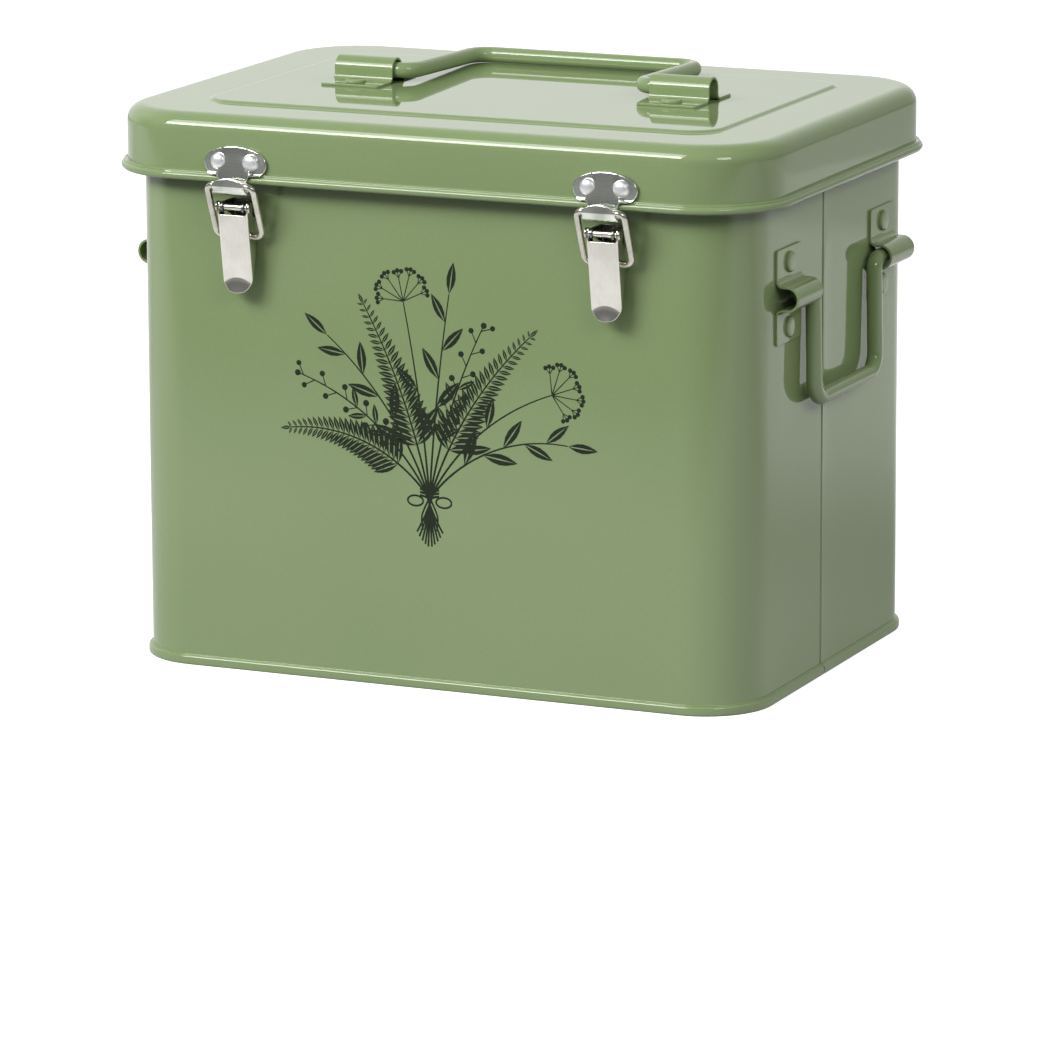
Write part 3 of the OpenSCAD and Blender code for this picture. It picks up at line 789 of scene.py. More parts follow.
class Grower:
    """Node trees for what follows a path or repeats, and the step that turns them into plain meshes."""

    def __init__(self) -> None:
        """Builds the trees once."""
        self.wire, self.stroke = self._wire_tree(), self._stroke_tree()
        self.rivets = self._scatter_tree("set_rivets", "Z", "AUTO")
        self.sprig = self._scatter_tree("leafy_sprig", "X", "Y")

    @staticmethod
    def _start(name: str, **inputs: str) -> tuple[partial, bpy.types.bpy_prop_collection]:
        """Starts a tree with its named inputs.

        Args:
            name: The tree's name.
            **inputs: Each input's name, with _ for a space, and its kind of socket.

        Returns:
            What adds the tree's nodes, and its inputs.
        """
        tree = bpy.data.node_groups.new(name, "GeometryNodeTree")
        taken = [(label.replace("_", " "), "INPUT", kind) for label, kind in inputs.items()]
        for label, way, kind in [("Geometry", "INPUT", "Geometry"), *taken, ("Geometry", "OUTPUT", "Geometry")]:
            tree.interface.new_socket(label, in_out=way, socket_type="NodeSocket" + kind)
        node = partial(add, tree)
        return node, node("NodeGroupInput").outputs

    @staticmethod
    def _close(node: partial, shape: Node, finish: Socket) -> Tree:
        """Ends a tree: real mesh, then its material.

        Args:
            node: What adds a node to the tree.
            shape: The node that makes the last shape.
            finish: The material's socket.

        Returns:
            The tree.
        """
        real = node("GeometryNodeRealizeInstances", links={"Geometry": shape.outputs[0]})
        dressed = node("GeometryNodeSetMaterial", links={"Geometry": real.outputs[0], "Material": finish})
        return node("NodeGroupOutput", links={0: dressed.outputs[0]}).id_data

    def _wire_tree(self) -> Tree:
        """A round wire along a path of straight runs, bent at its corners.

        Returns:
            The tree.
        """
        node, given = self._start("bent_wire", Wire_Diameter="Float", Finish="Material")
        path = node("GeometryNodeMeshToCurve", links={"Mesh": given["Geometry"]})
        bend = node("GeometryNodeInputNamedAttribute", {"data_type": "FLOAT"}, {"Name": "bend"})
        links = {"Curve": path.outputs[0], "Count": 10, "Radius": bend.outputs[0], "Limit Radius": True}
        bent = node("GeometryNodeFilletCurve", {"mode": "POLY"}, links)
        radius = node("ShaderNodeMath", {"operation": "MULTIPLY"}, {0: given["Wire Diameter"], 1: 0.5})
        links = {"Resolution": 24, "Radius": radius.outputs[0]}
        section = node("GeometryNodeCurvePrimitiveCircle", {"mode": "RADIUS"}, links)
        links = {"Curve": bent.outputs[0], "Profile Curve": section.outputs[0], "Fill Caps": True}
        return self._close(node, node("GeometryNodeCurveToMesh", links=links), given["Finish"])

    def _stroke_tree(self) -> Tree:
        """Printed strokes along paths, flattened onto the wall.

        Returns:
            The tree.
        """
        node, given = self._start("printed_strokes", Flatness="Float", Wall="Vector", Finish="Material")
        path = node("GeometryNodeMeshToCurve", links={"Mesh": given["Geometry"]})
        pen = node("GeometryNodeInputNamedAttribute", {"data_type": "FLOAT"}, {"Name": "pen"})
        links = {"Resolution": 8, "Radius": 0.5 * MM}
        section = node("GeometryNodeCurvePrimitiveCircle", {"mode": "RADIUS"}, links)
        links = {"Curve": path.outputs[0], "Profile Curve": section.outputs[0], "Scale": pen.outputs[0]}
        solid = node("GeometryNodeCurveToMesh", links={**links, "Fill Caps": True})
        squash = node("ShaderNodeCombineXYZ", links={"X": 1.0, "Y": given["Flatness"], "Z": 1.0})
        links = {"Geometry": solid.outputs[0], "Translation": given["Wall"], "Scale": squash.outputs[0]}
        return self._close(node, node("GeometryNodeTransform", links=links), given["Finish"])

    def _scatter_tree(self, name: str, axis: str, pivot: str) -> Tree:
        """Sets a shape on points, turned to each point's facing and scaled by its size.

        Args:
            name: The tree's name.
            axis: The shape's axis that takes the facing.
            pivot: The axis that it turns about.

        Returns:
            The tree.
        """
        node, given = self._start(name, Shape="Object", Finish="Material")
        shape = node("GeometryNodeObjectInfo", links={"Object": given["Shape"]})
        facing, size = (
            node("GeometryNodeInputNamedAttribute", {"data_type": kind}, {"Name": label}).outputs[0]
            for label, kind in (("facing", "FLOAT_VECTOR"), ("size", "FLOAT"))
        )
        turned = node("FunctionNodeAlignRotationToVector", {"axis": axis, "pivot_axis": pivot}, {"Vector": facing})
        links = {"Points": given["Geometry"], "Instance": shape.outputs["Geometry"]}
        links |= {"Rotation": turned.outputs[0], "Scale": size}
        return self._close(node, node("GeometryNodeInstanceOnPoints", links=links), given["Finish"])

    @staticmethod
    def bake(name: str, seed: Thing, tree: Tree, values: dict[str, object], sharp: float = 35.0) -> Thing:
        """Runs a tree on an object and keeps the result as a plain mesh.

        Args:
            name: The new object's name.
            seed: The object whose points the tree works on; it is removed.
            tree: The tree.
            values: Input names with their values.
            sharp: Edges that turn by more than this many degrees stay sharp.

        Returns:
            The new object.
        """
        modifier = seed.modifiers.new(tree.name, "NODES")
        modifier.node_group = tree
        for item in tree.interface.items_tree:
            if item.in_out == "INPUT" and item.name in values:
                modifier[item.identifier] = values[item.name]
        mesh = evaluated(seed)
        seed.modifiers.remove(modifier)
        bpy.data.objects.remove(seed)
        mesh.name = name
        smooth_but_sharp(mesh, sharp)
        for label in ("bend", "pen", "size", "facing"):
            if label in mesh.attributes:
                mesh.attributes.remove(mesh.attributes[label])
        return linked(name, mesh)

    @staticmethod
    def seed(points: Sequence[Vector], edges: Sequence[tuple[int, int]], **values: Sequence) -> Thing:
        """Makes the object that a tree works on.

        Args:
            points: Its points, in millimetres.
            edges: Its edges.
            **values: One number or vector a point for each named attribute.

        Returns:
            The object.
        """
        mesh = bpy.data.meshes.new("seed")
        mesh.from_pydata([point * MM for point in points], edges, [])
        for label, numbers in values.items():
            kind, key = ("FLOAT_VECTOR", "vector") if isinstance(numbers[0], Vector) else ("FLOAT", "value")
            layer = mesh.attributes.new(label, kind, "POINT")
            for spot, number in zip(layer.data, numbers):
                setattr(spot, key, number)
        return linked("seed", mesh)

    def bent_wire(
        self, name: str, path: Sequence[Vector], bends: Sequence[float], diameter: float, finish: Finish
    ) -> Thing:
        """A wire along a path, in millimetres.

        Args:
            name: The piece's name.
            path: The corners of the path.
            bends: The bend radius at each inner corner.
            diameter: The wire's diameter.
            finish: Its material.

        Returns:
            The piece.
        """
        edges = [(i, i + 1) for i in range(len(path) - 1)]
        seed = self.seed(path, edges, bend=[0.0, *(bend * MM for bend in bends), 0.0])
        return self.bake(name, seed, self.wire, {"Wire Diameter": diameter * MM, "Finish": finish})

    def scattered(
        self, name: str, tree: Tree, pattern: Thing, spots: Sequence[tuple[Vector, Vector, float]], sharp: float = 35.0
    ) -> Thing:
        """Sets a pattern at (place, facing, size) spots and removes it.

        Args:
            name: The piece's name.
            tree: The tree.
            pattern: The pattern.
            spots: Where, which way and how large.
            sharp: Edges that turn by more than this many degrees stay sharp.

        Returns:
            The piece.
        """
        places, facings, sizes = zip(*spots)
        seed = self.seed(places, [], facing=facings, size=sizes)
        piece = self.bake(name, seed, tree, {"Shape": pattern, "Finish": pattern.data.materials[0]}, sharp)
        bpy.data.objects.remove(pattern)
        return piece


# ---- rivets and pins


class HeadShape(Enum):
    """How a rivet head is formed; the number bends its side from a dome (2) to a disc."""

    DOME = 2.4
    BUTTON = 2.8
    DISC = 4.5


@dataclass(frozen=True)
class Rivet:
    """A rivet set through a stack of sheets; its height 0 is the face under its head."""

    head_d: float
    head_h: float
    shank_d: float
    grip: float
    shape: HeadShape
    tail_h: float = 0.8
    tail_over: float = 2.0
    edge_h: float = 0.12

    def turned(self) -> Shape:
        """The rivet along Z, head up.

        Returns:
            The rivet, in millimetres.
        """
        head, shank, tail = self.head_d / 2, self.shank_d / 2, (self.shank_d + self.tail_over) / 2
        end = -self.grip - self.tail_h
        power = 2 / self.shape.value
        profile = [(0.0, end), (tail * 0.6, end), (tail * 0.9, end + 0.2), (tail, end + 0.5), (tail, -self.grip)]
        profile += [(shank, -self.grip), (shank, 0.0), (head - 0.15, 0.0)]
        for turn in (math.pi / 2 * i / 12 for i in range(12)):
            rise = (self.head_h - self.edge_h) * math.sin(turn) ** power
            profile.append((head * math.cos(turn) ** power, self.edge_h + rise))
        return lathe([*profile, (0.0, self.head_h)], 32)


def turned_pin(name: str, length: float, radius: float, head: Point2, middle: Vector, finish: Finish) -> Thing:
    """A headed pin along X, in millimetres.

    Args:
        name: The piece's name.
        length: Distance between its heads.
        radius: The pin's radius.
        head: The radius and the thickness of its heads.
        middle: The pin's middle.
        finish: Its material.

    Returns:
        The piece.
    """
    head_r, head_t = head
    half, end = length / 2, length / 2 + head_t
    upper = [(radius, half), (head_r - 0.1, half), (head_r, half + 0.12), (head_r, end - 0.35)]
    upper += [(head_r - 0.12, end - 0.14), (head_r - 0.4, end), (0.0, end)]
    shape = lathe([(r, -z) for r, z in reversed(upper)] + upper, 32)
    bmesh.ops.rotate(shape, matrix=Matrix.Rotation(math.pi / 2, 3, "Y"), verts=shape.verts)
    bmesh.ops.translate(shape, vec=middle, verts=shape.verts)
    return mesh_object(name, shape, finish)


def hand_over(piece: Thing, body: str, slot: Slot, *nodes: str) -> None:
    """Gives a finished piece to its body.

    Args:
        piece: The piece.
        body: The CAD body it rides on.
        slot: The record's slot for its finish; not used.
        *nodes: The CAD nodes it stands for.
    """
    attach(piece, body)
    if nodes:
        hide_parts(*nodes)
    LOG.info("%s rides on %s: %d faces", piece.name, body, len(piece.data.polygons))


@dataclass
class RivetSet:
    """Rivets of one shape that hold a kind of fitting to one body.

    Args:
        fitting: The fitting, as in the names of the piece and its node.
        body: The CAD body they ride on.
        slot: The record's slot for their finish.
        rivet: The rivet.
        finish: Its material.
        spots: Places and facings.
    """

    fitting: str
    body: str
    slot: Slot
    rivet: Rivet
    finish: Finish
    spots: list[Spot] = field(default_factory=list)

    def build(self, grower: Grower) -> None:
        """Sets the rivets and hands them over.

        Args:
            grower: What makes wires and rivets.
        """
        name = f"{self.fitting}_rivet_set"
        pattern = mesh_object(name + "_pattern", self.rivet.turned(), self.finish, sharp=50.0)
        spots = [(place, facing, 1.0) for place, facing in self.spots]
        piece = grower.scattered(name, grower.rivets, pattern, spots, sharp=50.0)
        hand_over(piece, self.body, self.slot, f"{self.fitting}_rivets")


# ---- the tin


@dataclass
class Tin:
    """The body of the box: its wall with a curled mouth and a lock seam, and the pressed base."""

    width: float = 270.0
    depth: float = 191.0
    corner: float = 27.0
    sheet: float = 1.0
    foot: float = 1.2
    curl_at: Point2 = (0.85, 224.12)
    curl_r: float = 2.0
    seam_y: float = -12.0
    seam_to: float = 221.0
    seam_deep: float = 0.5
    rim_out: float = 1.8
    rim_in: float = 3.0
    rim_h: float = 4.5
    rim_r: float = 0.9
    rim_over_seam: float = 0.45
    pan_z: float = 3.0

    def ring(self, out: float, height: float, groove: float = 0.0) -> Ring:
        """A ring at a distance from the wall."""
        return Ring(self.width + 2 * out, self.depth + 2 * out, self.corner + out, height, groove)

    def perimeter(self) -> Perimeter:
        """The stations round the box, closer over the lock seam of the right wall.

        Each of the seam's steps is a place along the wall and how far the sheet gives way. The folded
        lip on the rear side of the groove stands a touch proud and catches the light.

        Returns:
            The stations.
        """
        straight = self.depth / 2 - self.corner
        steps = [(-1.7, 0.0), (-0.75, 0.0), (-0.6, 0.12), (-0.5, 1.0), (0.4, 1.0), (0.55, 0.3), (0.7, -0.3)]
        steps += [(1.1, -0.4), (1.7, -0.2), (2.7, 0.0)]
        return Perimeter(right=[((self.seam_y + shift) / straight, relief) for shift, relief in steps])

    def wall(self, finish: Finish) -> Thing:
        """The drawn wall, from its foot in the base to the curled mouth.

        Args:
            finish: Its material.

        Returns:
            The piece.
        """
        rings = [self.ring(0, z, -self.seam_deep) for z in (self.foot, 60.0, 140.0, self.seam_to)]
        rings.append(self.ring(0, self.seam_to + 0.5))
        rings += [self.ring(out, z) for out, z in arc(self.curl_at, self.curl_r, 244.8, 562.3, 26)]
        rings += [self.ring(-self.sheet, z) for z in (220.0, 100.0, self.foot)]
        return mesh_object("drawn_wall", self.perimeter().shell(rings, capped=False), finish)

    def base(self, finish: Finish) -> Thing:
        """The base plate, folded round the foot of the wall and drawn in a little over the seam.

        Args:
            finish: Its material.

        Returns:
            The piece.
        """
        inner, outer, top = -self.rim_in, self.rim_out, self.rim_h
        line = [(inner - 3, self.pan_z), (inner, self.pan_z), (inner, 0.5)]
        line += arc((inner + 0.5, 0.5), 0.5, 180, 270, 4)[1:]
        line += [(outer - self.rim_r - 0.4, 0.0)]
        line += arc((outer - self.rim_r, self.rim_r), self.rim_r, 270, 360, 8)
        line += arc((outer - 1.7, top - 1.95), 1.7, 0, 50, 8)
        line += [(1.1, top - 0.57), (0.92, top - 0.54), (0.76, top - 0.6), *arc((0.35, top - 0.4), 0.4, -20, 100, 8)]
        line += [(-self.sheet - 0.1, top), (-self.sheet - 0.1, self.pan_z + self.sheet)]
        line += [(-self.sheet - 4, self.pan_z + self.sheet)]
        rings = [self.ring(out, z, -self.rim_over_seam if out > 0.2 and z > 2.0 else 0.0) for out, z in line]
        return mesh_object("pressed_base", self.perimeter().shell(rings, capped=True), finish)

    def build(self, finishes: Finishes, nodes: dict[str, Thing]) -> None:
        """Makes the wall and the base, and paints the dividers that the CAD already shapes well.

        Args:
            finishes: The finishes of the box.
            nodes: The frame's nodes by name.
        """
        hand_over(self.wall(finishes.enamel), "box", Slot.GREEN, "body_shell")
        hand_over(self.base(finishes.enamel), "box", Slot.GREEN, "base_pan")
        for name in ("long_divider", "cross_divider_1", "cross_divider_2", "cross_divider_3"):
            for holder in nodes[name].material_slots:
                holder.material = finishes.satin
            LOG.info("%s keeps its CAD shape", name)


@dataclass
class Lid:
    """The pressed lid: a wired bead, a skirt, a rolled top edge and a raised panel."""

    tin: Tin
    skirt_out: float = 7.0
    sheet: float = 1.0
    bead_at: Point2 = (8.1, 202.95)
    bead_r: float = 1.6
    edge_r: float = 7.0
    bend_z: float = 220.8
    top: float = 227.8
    panel: tuple[float, float, float] = (226.0, 146.0, 15.0)
    slope: float = 3.0
    rise: float = 1.0

    def _panel_rings(self, drop: float) -> list[Ring]:
        """The soft slope round the raised panel, from its foot to its flat.

        Args:
            drop: How far they lie below the top.

        Returns:
            The rings, from the outside in.
        """
        width, depth, radius = self.panel
        rings = []
        for inset in (-1.2, -0.5, *(self.slope * i / 8 for i in range(9)), self.slope + 0.6, self.slope + 2):
            share = min(max(inset / self.slope, 0.0), 1.0)
            lift = self.rise * (share - math.sin(math.tau * share) / math.tau)
            rings.append(Ring(width - 2 * inset, depth - 2 * inset, radius - inset, self.top + lift - drop))
        return rings

    def build(self, finishes: Finishes) -> None:
        """Makes the lid's one shell, from the middle of its underside to the middle of its top.

        Args:
            finishes: The finishes of the box.
        """
        t, skirt, bend = self.sheet, self.skirt_out, (0.0, self.bend_z)
        line = [(-1, self.top - t), *arc(bend, self.edge_r - t, 90, 0, 12), (6.0, 206.0), (6.0, 204.9), (6.3, 204.2)]
        line += [*arc(self.bead_at, self.bead_r, 165, 408, 24), (8.78, 204.3), *arc((8.2, 204.85), 0.45, -28, 95, 8)]
        line += [(7.75, 205.2), (7.35, 204.98), (7.0, 205.0), (6.9, 205.3), (skirt, 206.0), (skirt, self.bend_z - 1.5)]
        line += [*arc(bend, self.edge_r, 0, 90, 14), (-1, self.top)]
        rings = [*reversed(self._panel_rings(t)), *(self.tin.ring(out, z) for out, z in line), *self._panel_rings(0.0)]
        shell = Perimeter(corner_steps=18).shell(rings, capped=True)
        hand_over(mesh_object("pressed_lid", shell, finishes.enamel), "lid", Slot.GREEN, "lid_shell")


# ---- handles


@dataclass
class Handles:
    """The folding handle on the lid and the drop handles on the sides, with brackets and rivets."""

    tin: Tin
    panel_z: float = 228.8
    pivot_h: float = 5.0
    wire_d: float = 6.5
    bracket_w: float = 26.0
    bracket_t: float = 1.0
    foot_r: float = 1.2
    rivet_half: float = 13.0
    top_x: float = 70.0
    top_foot: float = 73.0
    top_arm: float = 50.5
    top_reach: float = 65.0
    top_tilt: float = 1.5
    side_z: float = 163.0
    side_y: float = 1.0
    side_bracket: float = 51.3
    side_foot: float = 49.5
    side_slack: float = 0.85
    side_arm: float = 33.8
    side_reach: float = 45.5
    rivet: Rivet = Rivet(8.5, 1.5, 3.6, 2.0, HeadShape.DISC)
    fold: FoldLine = folded(
        (-19.0, 0.5), 0.0, (11.8,), (3.927, 90), (2.0,), (14.765, -180), (2.0,), (3.927, 90), (11.8,)
    )

    def bracket(self, name: str, frame: Matrix, finish: Finish) -> Thing:
        """A strap bent over the wire.

        Args:
            name: The piece's name.
            frame: Takes (along the tunnel, across it, away from the wall) to the box.
            finish: Its material.

        Returns:
            The piece.
        """
        half, length = self.bracket_w / 2, self.fold.length
        corners = ((half, 0.0), (half, length), (-half, length), (-half, 0.0))
        outline = rounded([(x, y, self.foot_r) for x, y in corners])

        def place(across: float, along: float, off: float) -> Vector:
            """Bends the strap and sets it on its wall."""
            return frame @ Vector((across, *self.fold.at(along, off)))

        return Stamping(outline, self.bracket_t, place, along_cuts=self.fold.cuts(), rim=0.2).build(name, finish)

    def on_wall(self, side: Side, y: float) -> Matrix:
        """Frame of a bracket on an end wall, with its tunnel along Y."""
        sign = side.value
        return Matrix(((0, 0, sign, sign * self.tin.width / 2), (sign, 0, 0, y), (0, 1, 0, self.side_z), (0, 0, 0, 1)))

    def build(self, finishes: Finishes, grower: Grower) -> None:
        """Makes brackets, wires and rivets.

        Args:
            finishes: The finishes of the box.
            grower: What makes wires and rivets.
        """
        enamel = finishes.enamel
        top, ends = (
            RivetSet(fitting, body, Slot.GREEN, self.rivet, enamel)
            for fitting, body in (("top_bracket", "lid"), ("side_bracket", "box"))
        )
        for side in Side:
            sites = [(f"top_bracket_{side.word}", top, Matrix.Translation((side.value * self.top_x, 0, self.panel_z)))]
            for word, way in (("front", -1), ("rear", 1)):
                frame = self.on_wall(side, self.side_y + way * self.side_bracket)
                sites.append((f"side_bracket_{side.word}_{word}", ends, frame))
            for name, rivets, frame in sites:
                hand_over(self.bracket(name + "_strap", frame, enamel), rivets.body, Slot.GREEN, name)
                facing = (frame.to_3x3() @ Vector((0, 0, 1))).normalized()
                for y in (-self.rivet_half, self.rivet_half):
                    rivets.spots.append((frame @ Vector((0, y, self.bracket_t)), facing))
            self.drop_handle(side, enamel, grower)
        for rivets in (top, ends):
            rivets.build(grower)
        self.top_handle(enamel, grower)

    def top_handle(self, finish: Finish, grower: Grower) -> None:
        """The folding handle, lying back on the lid.

        Args:
            finish: Its material.
            grower: What makes wires and rivets.
        """
        tilt, pivot = math.radians(self.top_tilt), self.panel_z + self.pivot_h
        foot, arm, reach = self.top_foot, self.top_arm, self.top_reach
        corners = ((-foot, 0), (-arm, 0), (-arm, reach), (arm, reach), (arm, 0), (foot, 0))
        path = [Vector((x, far * math.cos(tilt), pivot - far * math.sin(tilt))) for x, far in corners]
        piece = grower.bent_wire("top_handle_wire", path, [6.5, 9.0, 9.0, 6.5], self.wire_d, finish)
        hand_over(piece, "top_handle", Slot.GREEN, "top_handle")

    def drop_handle(self, side: Side, finish: Finish, grower: Grower) -> None:
        """A handle that hangs from two brackets on an end wall, loose in them and close to the wall above.

        Args:
            side: The end of the box.
            finish: Its material.
            grower: What makes wires and rivets.
        """
        bar = self.tin.width / 2 + self.pivot_h
        pivot = bar - self.side_slack
        foot, arm, high, low = self.side_foot, self.side_arm, self.side_z, self.side_z - self.side_reach
        half = [(pivot, -foot, high), (pivot, -arm, high), (bar, -arm, low)]
        spots = half + [(out, -y, z) for out, y, z in reversed(half)]
        path = [Vector((side.value * out, self.side_y + y, z)) for out, y, z in spots]
        name = f"side_handle_{side.word}"
        piece = grower.bent_wire(name + "_wire", path, [4.5, 8.0, 8.0, 4.5], self.wire_d, finish)
        hand_over(piece, name, Slot.GREEN, name)


# ---- latches


@dataclass
class Latches:
    """The two draw latches: keeper, base, pin, lever and wire loop, with their rivets."""

    tin: Tin
    x: float = 80.0
    keeper_t: float = 1.2
    lever_t: float = 0.8
    base_t: float = 1.0
    pin_out: float = 10.0
    pin_z: float = 192.0
    pin_r: float = 1.4
    pin_long: float = 13.5
    pin_head: Point2 = (2.2, 0.85)
    lean: float = 8.75
    web: float = 1.8
    crease: float = 28.8
    crease_arch: float = 0.065
    tip_turn: float = 13.0
    tip_curl: float = 1.5
    loop_d: float = 2.7
    loop_x: float = 10.1
    loop_end: float = 4.6
    loop_foot: Point2 = (4.7023, 179.6016)
    loop_head: Point2 = (13.6, 201.1)
    keeper_rivet: Rivet = Rivet(6.9, 2.3, 3.0, 2.2, HeadShape.DOME)
    base_rivet: Rivet = Rivet(5.0, 0.8, 3.0, 2.0, HeadShape.DISC)
    keeper_top: Point2 = (8.0, 216.3)
    keeper_step: float = 2.5
    keeper_rivets_at: Point2 = (8.6, 210.0)
    hook_fold: FoldLine = folded((10.5, 202.2), -90.0, (2.0,), (5.498, 150), (1.8,), (0.524, 30), (3.3,))
    lever_fold: FoldLine = folded((-6.2, -6.286), 90.0, (7.586,), (0.785, -90), (11.4,), (0.785, -90), (7.586,))
    base_fold: FoldLine = folded((-4.6, 13.0), -90.0, (11.5,), (1.571, 90), (7.2,), (1.571, 90), (11.5,))

    def front(self, x: float, out: float, z: float) -> Vector:
        """A point before the front wall."""
        return Vector((x, -self.tin.depth / 2 - out, z))

    def keeper(self, x: float, name: str, finish: Finish) -> Thing:
        """The crowned plate on the lid whose neck steps over the bead into a hook.

        Args:
            x: Its middle along the wall.
            name: The piece's name.
            finish: Its material.

        Returns:
            The piece.
        """
        lobe = [(0, 0), (3, 0.15), (6, 0.7), (8.8, 1.6), (11, 2.6), (12.8, 4.4), (13.75, 6.6), (13.3, 9.0)]
        lobe += [(11.8, 10.9), (9.6, 11.6), (7.6, 11.75), (6.6, 12.3), (6.25, 13.2), (6.3, 14.0), (7.0, 15.5)]
        lobe += [(7.7, 17.4), (7.7, 20.1), (7.0, 22.5), (7.0, 24.5), (5.9, 25.5), (3.2, 26.7), (0, 27.15)]
        top_out, top_z = self.keeper_top
        flat = top_z - self.hook_fold.start[1]

        def place(across: float, along: float, off: float) -> Vector:
            """Swells the middle of the plate out over the bead and bends the hook.

            Args:
                across: Distance across the blank from its middle.
                along: Distance along the blank.
                off: Distance from the middle of the sheet.

            Returns:
                The point.
            """
            if along > flat:
                return self.front(x + across, *self.hook_fold.at(along - flat, off))
            z = top_z - along
            low = min(max((214.0 - z) / 7.5, 0.0), 1.0)
            share = 1.0 if z < 205.6 else 1 - smoothstep(2.4 + 4.0 * low, 6.5 + 1.9 * low, abs(across))
            fall = min(max((216.4 - z) / 13.2, 0.0), 1.0)
            rise = self.keeper_step * (0.75 * fall + 0.25 * smoothstep(0.0, 1.0, fall)) * share
            return self.front(x + across, top_out + rise + off, z)

        across = [side * spot for side in (-1, 1) for spot in (2.0, 4.0, 4.8, 5.6, 6.4, 6.9, 7.4, 7.9, 8.4)]
        along = [0.8 + 0.9 * i for i in range(16)] + [flat + cut for cut in self.hook_fold.cuts()]
        outline = mirrored(smoothed(lobe, 3))
        return Stamping(outline, self.keeper_t, place, across, along, rim=0.45).build(name, finish)

    def base(self, x: float, name: str, finish: Finish) -> Thing:
        """The riveted plate whose two ears carry the pin.

        Args:
            x: Its middle along the wall.
            name: The piece's name.
            finish: Its material.

        Returns:
            The piece.
        """
        middle = self.base_fold.length / 2
        foot, top, wall = self.pin_z - 23.6, self.pin_z + 2.2, 3.671
        half = [(0.0, foot), (2.8, foot), (3.6, foot + 0.8), (3.7, 184.5), (4.4, 186.0), (5.6, 187.2)]
        half += [(wall + 8.4, 190.5)]
        half += [(z, t) for t, z in arc((self.pin_z, wall + self.pin_out), 2.2, 150, 0, 10)]
        half += [(5.6, top + 0.1), (3.7, top), (0.0, top)]

        def place(across: float, along: float, off: float) -> Vector:
            """Folds the ears out from the wall."""
            side, out = self.base_fold.at(across + middle, off)
            return self.front(x + side, out, along)

        across = [cut - middle for cut in self.base_fold.cuts()]
        return Stamping(mirrored(half), self.base_t, place, across, rim=0.12).build(name, finish)

    def lever(self, x: float, name: str, finish: Finish) -> Thing:
        """The channel on the pin, with its thumb tip turned out past an arched crease.

        Args:
            x: Its middle along the wall.
            name: The piece's name.
            finish: Its material.

        Returns:
            The piece.
        """
        side = [(2.7, 4.6), (2.35, 5.3), (1.3, 5.75), (0.0, 5.9), (-1.2, 6.15), (-2.0, 6.7), (-2.2, 7.3), (-2.0, 8.1)]
        side += [(-1.2, 9.0), (0.0, 9.4), (3.0, 10.1), (7.0, 11.3), (10.6, 12.3), (12.2, 12.85), (13.2, 12.9)]
        side += [(14.4, 12.5), (15.3, 11.6), (20.0, 10.0), (25.0, 8.4), (27.6, 7.2), (28.9, 6.4), (29.5, 6.0)]
        side += [(30.4, 5.8), (31.9, 5.3), (33.6, 4.1), (34.8, 2.4), (35.3, 0.0)]
        half = [(t + 0.4, along) for along, t in ((2.7, -0.4), *smoothed(side, 2)[:-1], (35.3, -0.4))]
        middle, lean = self.lever_fold.length / 2, math.radians(self.lean)

        def place(across: float, along: float, off: float) -> Vector:
            """Folds the channel, turns its tip out and leans it on the pin.

            Args:
                across: Distance across the blank from its middle.
                along: Distance along the blank.
                off: Distance from the middle of the sheet.

            Returns:
                The point.
            """
            step, out = self.lever_fold.at(across + middle, off)
            line = self.crease + self.crease_arch * across * across
            if along > line:
                past, high = along - line, out - self.web
                turn = math.radians(self.tip_turn + self.tip_curl * (past - 3.0))
                along = line + past * math.cos(turn) - high * math.sin(turn)
                out = self.web + past * math.sin(turn) + high * math.cos(turn)
            away = self.pin_out + out * math.cos(lean) - along * math.sin(lean)
            return self.front(x + step, away, self.pin_z - out * math.sin(lean) - along * math.cos(lean))

        across = [cut - middle for cut in self.lever_fold.cuts()] + [0.9 * i for i in range(-5, 6)]
        along = [8.0, 16.0, 24.0, *(28.6 + 0.2 * i for i in range(13)), 32.0, 33.0]
        return Stamping(mirrored(half), self.lever_t, place, across, along, rim=0.25).build(name, finish)

    def loop(self, x: float, name: str, finish: Finish, grower: Grower) -> Thing:
        """The wire loop from the lever up into the hook.

        Args:
            x: Its middle along the wall.
            name: The piece's name.
            finish: Its material.
            grower: What makes wires and rivets.

        Returns:
            The piece.
        """
        spots = [(-self.loop_end, self.loop_foot), (-self.loop_x, self.loop_foot), (-self.loop_x, self.loop_head)]
        spots += [(-a, p) for a, p in reversed(spots)]
        path = [self.front(x + across, *place) for across, place in spots]
        return grower.bent_wire(name, path, [3.0, 2.8, 2.8, 3.0], self.loop_d, finish)

